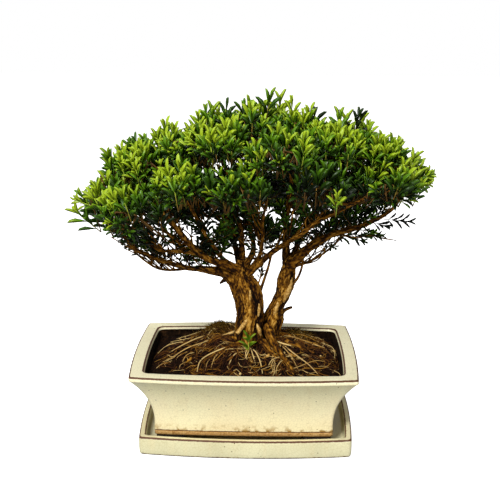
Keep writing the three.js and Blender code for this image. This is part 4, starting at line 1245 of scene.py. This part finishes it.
def make_spray(name):
    """One spray of shoots round its hub."""
    chance = random.Random(name)
    low, high = spray_boxes[name]
    centre, half = (low + high) / 2, (high - low) / 2
    bm = new_bmesh("young")
    hub, feet, used = hubs[name], [hubs[name]], set()
    for i in range(FORKS_PER_SPRAY):
        z = HIGHEST_FORK - FORK_FALL * i / FORKS_PER_SPRAY
        ray = Vector((math.cos(i * GOLDEN_ANGLE), math.sin(i * GOLDEN_ANGLE), z))
        feet.append(hub + ray * half * FORK_REACH)
    for i in range(SHOOTS_PER_SPRAY):
        z = 1 - (i + 0.5) / SHOOTS_PER_SPRAY * (1 - LOWEST_RAY)
        flat = math.sqrt(max(0, 1 - z * z))
        angle = i * GOLDEN_ANGLE + chance.uniform(-ANGLE_CHANCE, ANGLE_CHANCE)
        ray = Vector((flat * math.cos(angle), flat * math.sin(angle), z))
        outward = outward_of(centre + ray * half)
        facing = max(0.0, ray.dot(outward.normalized()))
        reach = MEETING_REACH + (CLIPPED_REACH - MEETING_REACH) * min(1.0, facing * outward.length)
        tip = clipped(centre + ray * half * (reach * chance.uniform(*REACH_SPREAD)), chance)
        if tip is None or crowding(tip, name) < CROWDED or is_cleared(tip):
            continue
        lean = UPWARD + outward.normalized() * (SIDEWAYS + SIDEWAYS_AT_ENDS * outward.x**2)
        lean = (lean + ray * ALONG_RAY + scatter(chance, LEAN_SCATTER)).normalized()
        size = chance.uniform(*SHOOT_SIZE)
        # The shoot has to fit into the room over its hub. Where none fits, it leans out from there.
        room = (tip.z - hub.z + LOWEST_FOOT) / max(FLATTEST, lean.z)
        fits = [k for k in range(SHOOT_KINDS) if (shoots[k][1] + TIP_LEAF) * size < room]
        kind = chance.choice(fits or [shortest])
        length = shoots[kind][1] + TIP_LEAF
        if room < length * SMALLEST_SHOOT:
            lean = ((tip - hub).normalized() + UPWARD * 0.3 + lean * 0.3).normalized()
        size = min(size, max(SMALLEST_SHOOT, room / length))
        base = tip - lean * length * size
        if over_underside(base) < LOWEST_BASE:
            continue
        grow_shoot(bm, kind, base, lean, size, light_at(tip, ray), chance)
        nearest = min(range(len(feet)), key=lambda f: (feet[f] - base).length)
        used.add(nearest)
        if (feet[nearest] - base).length > SHORTEST_TWIG:
            add_twig(bm, feet[nearest], base, TWIG_ENDS)
    for fork in used - {0}:
        add_twig(bm, hub, feet[fork], FORK_ENDS)
    finish_piece(bm, name.replace("leafy_spray", "spray") + "_shoots", FOLIAGE, [name])


for name in SPRAYS:
    make_spray(name)

# %% [markdown]
# ## Tall shoots
# Since the last clipping some shoots have grown past the rest and give the crown its ragged outline. Chance
# would put them anywhere, so each is listed by its tip, with a shorter one at its side. At the crown's two
# ends they lean well outwards.

# %% Tall shoots
TALL_TIPS = [
    (-184, -10, 274), (-172, 12, 277), (-150, -14, 322), (-140, 8, 324), (-122, -6, 335),
    (-113, 16, 334), (-96, -20, 344), (-88, 6, 352), (-78, -12, 350), (-52, -16, 363),
    (-44, 14, 365), (-34, -22, 371), (-20, 0, 372), (-2, -12, 375), (11, 20, 370), (24, -8, 385),
    (35, 12, 381), (48, -14, 377), (64, -4, 369), (73, 18, 365), (97, -16, 366), (104, 10, 363),
    (121, -10, 366), (128, 14, 360), (156, -8, 337), (165, 12, 334), (181, -6, 323), (192, 10, 312),
]
TALL_SIZE, TALL_SIDEWAYS, TALL_SCATTER, TALL_LIGHT = (1.05, 1.25), (0.2, 1.7), 0.12, (0.5, 0.95)
TALL_TWIG, BESIDE = (1.0, 0.7), (9, 12, 12)

tall = new_bmesh("young")
chance = random.Random(4)
for x, y, z in TALL_TIPS:
    aside, behind = (chance.uniform(-reach, reach) for reach in BESIDE[:2])
    beside = Vector((x + aside, y + behind, z - BESIDE[2]))
    for tip in (Vector((x, y, z)), beside):
        outward = outward_of(tip)
        lean = UPWARD + outward.normalized() * (TALL_SIDEWAYS[0] + TALL_SIDEWAYS[1] * outward.x**4)
        lean = (lean + scatter(chance, TALL_SCATTER)).normalized()
        size, kind = chance.uniform(*TALL_SIZE), chance.randrange(SHOOT_KINDS)
        base = tip - lean * (shoots[kind][1] + TIP_LEAF) * size
        grow_shoot(tall, kind, base, lean, size, chance.uniform(*TALL_LIGHT), chance)
        hub = min(hubs.values(), key=lambda h: (h - base).length)
        add_twig(tall, hub, base, TALL_TWIG)
finish_piece(tall, "tall_shoots", FOLIAGE)

# %% [markdown]
# ## Shoots from the old wood
# Below the cushions, small dark shoots break straight from the limbs, most of them behind, where the light
# is poor. They close the view through the crown, and leave only small gaps. They are the same shoots, only
# smaller, set along each limb; a few that hang free are listed one by one.

# %% Shoots from the limbs
LIMB_SHOOT_GAP, LIMB_SHOOT_START, LIMB_SHOOT_REACH = 3.0, 0.2, (26, 34)
LIMB_SHOOT_SIZE, LIMB_SHOOT_LIGHT, LOW_SHOOT_LIGHT = (0.6, 0.85), 0.46, 0.3
LIMB_SHOOT_LOWEST, LIMB_SHOOT_CROWDED = 4, 0.4
# Single shoots that hang free: each base, which way it leans, and its size.
LOW_SHOOTS = [
    ((15, -3, 172), (0.2, 0, 1), 0.5), ((112, -9, 225), (1, 0, -0.35), 0.6),
    ((120, -8, 222), (0.9, 0, 0.35), 0.55), ((134, -8, 226), (1, -0.2, 0.1), 0.5),
    ((-120, -12, 214), (-1, 0, 0.1), 0.5), ((-134, -10, 224), (-1, 0, 0.5), 0.5),
    ((94, 2, 224), (1, -0.2, -0.15), 0.75), ((108, 6, 226), (0.9, 0.3, -0.3), 0.75),
    ((122, -2, 232), (1, 0, -0.35), 0.7), ((134, 6, 238), (1, 0.1, -0.15), 0.75),
    ((150, 2, 242), (1, 0, -0.05), 0.7), ((82, 8, 216), (0.6, 0.4, -0.4), 0.6),
]

limb_shoots, count = new_bmesh("young"), 0
chance = random.Random(9)
for path, radii in LIMBS.values():
    centres, _ = smooth_path(path, radii, LIMB_SHOOT_GAP)
    for centre in centres[int(len(centres) * LIMB_SHOOT_START) :]:
        side = Vector((chance.uniform(-1, 1), chance.uniform(-0.3, 1.2), chance.uniform(-0.1, 0.9)))
        lean = (side.normalized() + UPWARD * 0.4 + outward_of(centre) * 0.3).normalized()
        tip = centre + lean * chance.uniform(*LIMB_SHOOT_REACH)
        too_low = over_underside(tip) < LIMB_SHOOT_LOWEST
        if too_low or crowding(tip) < LIMB_SHOOT_CROWDED or is_cleared(tip):
            continue
        size, kind = chance.uniform(*LIMB_SHOOT_SIZE), chance.randrange(SHOOT_KINDS)
        grow_shoot(limb_shoots, kind, centre + lean, lean, size, LIMB_SHOOT_LIGHT, chance)
        count += 1
for base, lean, size in LOW_SHOOTS:
    kind, lean = chance.randrange(SHOOT_KINDS), Vector(lean).normalized()
    grow_shoot(limb_shoots, kind, Vector(base), lean, size, LOW_SHOOT_LIGHT, chance)
print("shoots on the limbs:", count, "and by hand:", len(LOW_SHOOTS))
finish_piece(limb_shoots, "shoots_on_the_limbs", FOLIAGE)

# %% [markdown]
# ## Withered leaves
# A few old leaves inside the crown have turned orange and brown. They are the same blade in a
# piece of its own, because they need a finish of their own, laid against the shoots at random
# places under the crown's surface.

# %% Withered leaves
WITHERED_LEAVES, WITHERED_WIDTH, WITHERED_LENGTH = 90, 5.0, 13.0
DEEPEST_WITHERED = 0.85

withered = new_bmesh("young")
chance = random.Random(21)
for _ in range(WITHERED_LEAVES):
    low, high = spray_boxes[chance.choice(SPRAYS)]
    place = Vector(chance.uniform(a, b) for a, b in zip(low, high)).lerp((low + high) / 2, 0.3)
    if outward_of(place).length > DEEPEST_WITHERED:
        continue
    size = Matrix.Diagonal((WITHERED_WIDTH, WITHERED_LENGTH, WITHERED_LENGTH, 1))
    add_copy(withered, leaf, standing(place, scatter(chance, 1)) @ size, start=chance.uniform(0, 0.6))

# Dead boxwood leaf: dry and papery, from orange to brown.
dead_leaf = grain_material(
    "withered_boxwood_leaf", [(0.3, "#4a2208"), (0.6, "#96480e"), (0.8, "#b8741e"), (1.0, "#a8852a")],
    value="young", Roughness=0.8, Specular_IOR_Level=0.2,
)
finish_piece(withered, "withered_leaves", [dead_leaf])

# %% [markdown]
# ## Root mat
# The old root ball has worked up out of the soil. Hundreds of fine roots lie over it like combed hair, most
# of them running out from the trunks, golden where they are dry and pale at their tips. A texture would look
# flat here, so each is a thin tube that wanders over the soil's own surface, so that none floats, and both
# its ends dive in. The roots that stand out are listed one by one.

# %% Laying roots
MAT_SIDES, MAT_SPACING = 4, 2.6
WALL_X, WALL_Y = 103.5, 73.5
ROOT_TAPER, ROOT_BEDDED = (1, 1, 0.9, 0.5), 0.4
# Each root, one by one: its thickness, its tone from 0, dark, to 1, pale, how high its middle lies over the
# soil, and the places that it passes.
ROOTS_BY_HAND = [
    (1.5, 0.85, 1.4, [(-8, -16), (-20, -23), (-31, -26), (-43, -29), (-49, -40), (-51, -54)]),
    (1.0, 0.7, 1.0, [(-28, -26), (-33, -36), (-36, -50)]),
    (1.3, 1.0, 1.6, [(5, -24), (4, -31), (0, -42)]),
    (1.3, 1.0, 1.8, [(6, -24), (8, -33), (12, -44)]),
    (1.5, 1.0, 2.2, [(8, -24), (12, -32), (17, -44), (20, -60)]),
    (1.2, 0.95, 1.2, [(3, -26), (1, -34), (3, -43)]),
    (1.2, 0.95, 1.2, [(-8, -32), (-12, -39), (-17, -46)]),
    (1.1, 0.95, 1.6, [(55, -26), (42, -33), (30, -42), (25, -51)]),
    (0.9, 0.8, 2.0, [(52, -38), (42, -42), (35, -52), (34, -60)]),
    (0.8, 0.75, 2.0, [(38, -36), (30, -46), (31, -58)]),
    (1.0, 0.7, 1.2, [(39, -56), (60, -44), (80, -28), (100, -18)]),
    (1.1, 0.6, 1.2, [(95, -20), (85, -40), (65, -44), (52, -54)]),
    (0.8, 1.0, 3.0, [(90, 34), (99, 20), (101, 4), (99, -8)]),
    (0.9, 1.0, 2.0, [(-62, 12), (-76, 19), (-92, 17), (-101, 13)]),
    (0.8, 0.9, 2.4, [(-50, 30), (-66, 42), (-84, 52)]),
    (0.8, 0.9, 2.4, [(-55, 22), (-72, 34), (-92, 44)]),
    (1.6, 0.75, 1.6, [(-38, 16), (-54, 14), (-72, 2), (-88, -2)]),
    (1.4, 0.7, 1.6, [(-34, 6), (-50, -2), (-66, -12), (-84, -16)]),
    (1.0, 0.7, 1.6, [(34, -2), (50, -30), (60, -52)]),
    (1.3, 0.8, 1.8, [(38, -6), (54, -24), (70, -40), (80, -54)]),
    (1.5, 0.65, 1.4, [(44, 12), (62, 14), (80, 8), (96, 6)]),
    (1.2, 0.6, 1.4, [(46, 20), (66, 28), (86, 26)]),
]


def lay_root(bm, places, thickness, tone, rise):
    """Lays one root over the soil, with its ends below the surface."""
    path = []
    for i, (x, y) in enumerate(places):
        x, y = max(-WALL_X, min(WALL_X, x)), max(-WALL_Y, min(WALL_Y, y))
        arch = rise * math.sin(math.pi * i / (len(places) - 1))
        path.append((x, y, crumbled(x, y) + arch - ROOT_BEDDED))
    centres, radii = smooth_path(path, [thickness / 2 * taper for taper in ROOT_TAPER], MAT_SPACING)
    tube(bm, centres, radii, MAT_SIDES, bark=0.7, tone=tone)


print("roots by hand:", len(ROOTS_BY_HAND))

# %% Root mat
MAT_ROOTS, MAT_STOPS = 1500, 6
MAT_CENTRE, MAT_REACH = (8.0, 0.0), (100.0, 76.0)
MAT_STARTS, MAT_LENGTHS, MAT_RISES = (0.2, 0.98), (8, 32), (0.2, 2.6)
MAT_THICKNESSES = (0.4, 0.5, 0.5, 0.6, 0.7, 0.9)
MAT_TONES = (0.05, 0.1, 0.15, 0.2, 0.3, 0.35, 0.5, 0.75)
STRAYING, CURLING, WAVERING = 0.6, 0.3, 0.25
HAND_RISE = 1.0

mat = new_bmesh(*BARK_VALUES)
chance = random.Random(5)
for i in range(MAT_ROOTS):
    start, length = chance.uniform(*MAT_STARTS), chance.uniform(*MAT_LENGTHS)
    out_x = MAT_REACH[0] * math.cos(i * GOLDEN_ANGLE)
    out_y = MAT_REACH[1] * math.sin(i * GOLDEN_ANGLE)
    x, y = MAT_CENTRE[0] + out_x * start, MAT_CENTRE[1] + out_y * start
    heading = math.atan2(out_y, out_x) + chance.gauss(0, STRAYING)
    curl, step = chance.gauss(0, CURLING), length / (MAT_STOPS - 1)
    places = []
    for _ in range(MAT_STOPS):
        places.append((x, y))
        heading += curl + chance.gauss(0, WAVERING)
        x, y = x + math.cos(heading) * step, y + math.sin(heading) * step
    thickness, tone = chance.choice(MAT_THICKNESSES), chance.choice(MAT_TONES) + chance.uniform(-0.05, 0.1)
    lay_root(mat, places, thickness, tone, chance.uniform(*MAT_RISES))
for thickness, tone, rise, places in ROOTS_BY_HAND:
    lay_root(mat, places, thickness, tone, rise + HAND_RISE)

# Thin dry root skin: red brown where it is damp, golden to cream where it has dried.
root_skin = grain_material(
    "dry_root_skin",
    [(0.15, "#120602"), (0.38, "#351607"), (0.56, "#6b420f"), (0.76, "#a3721f"), (1.0, "#d3b473")],
    grain=7, detail=3.0, value="shade", share=0.35, Roughness=0.8, Specular_IOR_Level=0.15,
)
finish_piece(mat, "fine_root_mat", [root_skin])

# %% [markdown]
# ## Moss and litter
# Brown moss grows in two tufts behind the trunks. Hair particles would make moss too, but only a
# mesh can be exported, so a tuft is hundreds of thin cones that lean in all directions. A few
# dry leaves, a straight twig and grains of perlite lie on the roots.

# %% Moss
MOSS_PER_MOUND, MOSS_SPREAD, MOSS_FORWARD = (1500, 1000), 0.6, 6
MOSS_LENGTH, MOSS_RADII, MOSS_LEAN, MOSS_UPWARD = (3.5, 8.0), (0.28, 0.08), 0.8, 0.6
MOSS_SUNK, MOSS_TONE = 0.6, (0.0, 0.62)

fibre = new_bmesh(*BARK_VALUES)
foot, tip = MOSS_RADII
bmesh.ops.create_cone(fibre, cap_ends=True, segments=3, radius1=foot, radius2=tip, depth=1)
bmesh.ops.translate(fibre, verts=fibre.verts, vec=(0, 0, 0.5))
for vert in fibre.verts:
    vert[fibre.verts.layers.float["shade"]] = 1.0
moss_fibre = to_mesh(fibre, "moss_fibre")

moss = new_bmesh(*BARK_VALUES)
chance = random.Random(11)
for ((cx, cy), width, _), count in zip(MOUNDS, MOSS_PER_MOUND):
    spread = width * MOSS_SPREAD
    for _ in range(count):
        x, y = chance.gauss(cx, spread), chance.gauss(cy - MOSS_FORWARD, spread)
        lean = Vector((chance.gauss(0, MOSS_LEAN), chance.gauss(0, MOSS_LEAN), MOSS_UPWARD))
        length = Matrix.Diagonal((1, 1, chance.uniform(*MOSS_LENGTH), 1))
        place = standing((x, y, crumbled(x, y) - MOSS_SUNK), lean) @ length
        add_copy(moss, moss_fibre, place, by=chance.uniform(*MOSS_TONE), value="shade")

# Old cushion moss: dull, from dark olive to straw brown.
dry_moss = grain_material(
    "dry_cushion_moss", [(0.0, "#120c03"), (0.25, "#2e2409"), (0.45, "#5a3e12"), (0.62, "#8a6a2a")],
    value="shade", Roughness=1.0, Specular_IOR_Level=0.05,
)
finish_piece(moss, "moss_tufts", [dry_moss])

# %% Fallen leaves, twig and perlite
# Each leaf: its foot and its tip over the soil, its width, and its tone.
FALLEN_LEAVES = [
    ((-27, 4), (-12, 9), 6.0, 0.72), ((86, 9), (101, 11), 4.5, 0.85), ((46, -22), (56, -30), 4.0, 0.6),
    ((-66, -36), (-58, -30), 5.0, 0.5), ((20, -38), (27, -34), 6.5, 0.62), ((70, -10), (77, -14), 5.0, 0.4),
    ((-20, -44), (-12, -40), 4.5, 0.35),
]
LEAF_FOOT_RISE, LEAF_TIP_RISE, TWIG_RISE = 1.6, 2.4, 3.4
# Each grain: its place and its radius.
PERLITE = [(38, -18, 1.6), (43, -27, 1.4), (84, -12, 1.1), (-4, -62, 1.5), (52, -33, 1.2)]
PERLITE_ROUGHNESS, PERLITE_TONE = 0.4 * MM, 1.2
DRY_TWIG, DRY_TWIG_RADII, DRY_TWIG_TONE = [(31, -11), (41, -13), (51, -15)], [0.9, 0.9, 0.7], 1.05

litter = new_bmesh(*BARK_VALUES)
shade = litter.verts.layers.float["shade"]
for foot, tip, width, tone in FALLEN_LEAVES:
    first = Vector((*foot, crumbled(*foot) + LEAF_FOOT_RISE))
    last = Vector((*tip, crumbled(*tip) + LEAF_TIP_RISE))
    length, before = (last - first).length, set(litter.verts)
    blade = leaf.copy()
    blade.transform(standing(first, last - first) @ Matrix.Diagonal((width, length, length, 1)))
    litter.from_mesh(blade)
    bpy.data.meshes.remove(blade)
    for vert in set(litter.verts) - before:
        vert[shade] = tone
for x, y, radius in PERLITE:
    place = Matrix.Translation(Vector((x, y, crumbled(x, y) + radius * 1.4)) * MM)
    grain = bmesh.ops.create_icosphere(litter, subdivisions=2, radius=radius * MM, matrix=place)
    for vert in grain["verts"]:
        vert.co += noise.noise_vector(vert.co / MM) * PERLITE_ROUGHNESS
        vert[shade] = PERLITE_TONE
path = [(x, y, crumbled(x, y) + TWIG_RISE) for x, y in DRY_TWIG]
tube(litter, *smooth_path(path, DRY_TWIG_RADII, 2.0), 6, tone=DRY_TWIG_TONE)
finish_piece(litter, "fallen_leaves_and_grit", [root_skin])

# %% [markdown]
# ## Young shoot
# A bright young shoot stands at the foot of the left trunk. It is looser than the crown's shoots,
# with narrow leaves that droop below and rise above, so it is made from single leaves.

# %% Young shoot at the foot of the trunk
YOUNG_LEAVES, YOUNG_LEAF_LENGTH, YOUNG_LEAF_WIDTH = 9, 12.5, 4.2
LOWEST_YOUNG_LEAF, YOUNG_SPREAD, YOUNG_RISE = 0.45, 76, 44
YOUNG_STEM, YOUNG_STEM_AGE = (0.9, 0.5), 0.6

low, high = [Vector(corner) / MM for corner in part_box("basal_sprout")]
foot = Vector(((low.x + high.x) / 2, (low.y + high.y) / 2 + 2, low.z))
tip = Vector((foot.x, foot.y, high.z - 5))
sprout = new_bmesh("young")
young = sprout.verts.layers.float["young"]
wide, narrow = YOUNG_STEM
stem = bmesh.ops.create_cone(
    sprout, cap_ends=True, segments=6, radius1=wide, radius2=narrow, depth=(tip - foot).length
)["verts"]
halfway = Matrix.Translation((foot + tip) / 2)
bmesh.ops.transform(sprout, matrix=Matrix.Scale(MM, 4) @ halfway, verts=stem)
for face in sprout.faces:
    face.material_index = STEM
for vert in stem:
    vert[young] = YOUNG_STEM_AGE
chance = random.Random(3)
for k in range(YOUNG_LEAVES):
    t = k / (YOUNG_LEAVES - 1)
    place = (
        Matrix.Translation(foot.lerp(tip, LOWEST_YOUNG_LEAF + (1 - LOWEST_YOUNG_LEAF) * t))
        @ Matrix.Rotation(k * GOLDEN_ANGLE + 0.6, 4, "Z")
        @ Matrix.Rotation(-math.radians(YOUNG_SPREAD - YOUNG_RISE * t), 4, "X")
        @ Matrix.Diagonal((YOUNG_LEAF_WIDTH, YOUNG_LEAF_LENGTH, YOUNG_LEAF_LENGTH, 1))
    )
    add_copy(sprout, leaf, Matrix.Scale(MM, 4) @ place, start=0.1 + chance.uniform(0, 0.15))
finish_piece(sprout, "young_shoot", FOLIAGE, ["basal_sprout"])

# %% [markdown]
# ## Drainage mesh
# Two squares of moulded plastic mesh lie over the drainage holes inside the pot, so that the
# soil stays in. Their plain solids have the right shape, so they only get their finish.

# %% Drainage mesh finish
# Moulded black polypropylene: a fine moulded grain and a low gloss.
mesh_plastic = grain_material(
    "moulded_polypropylene", [(0.3, "#121212"), (0.7, "#242424")],
    grain=0.8, bump=(0.3, 0.05), Roughness=0.5, IOR=1.49,
)
for name in ("drainage_mesh_left", "drainage_mesh_right"):
    net = frame["nodes"][name]
    net.data.materials.clear()
    net.data.materials.append(mesh_plastic)
    print("finish on", name)
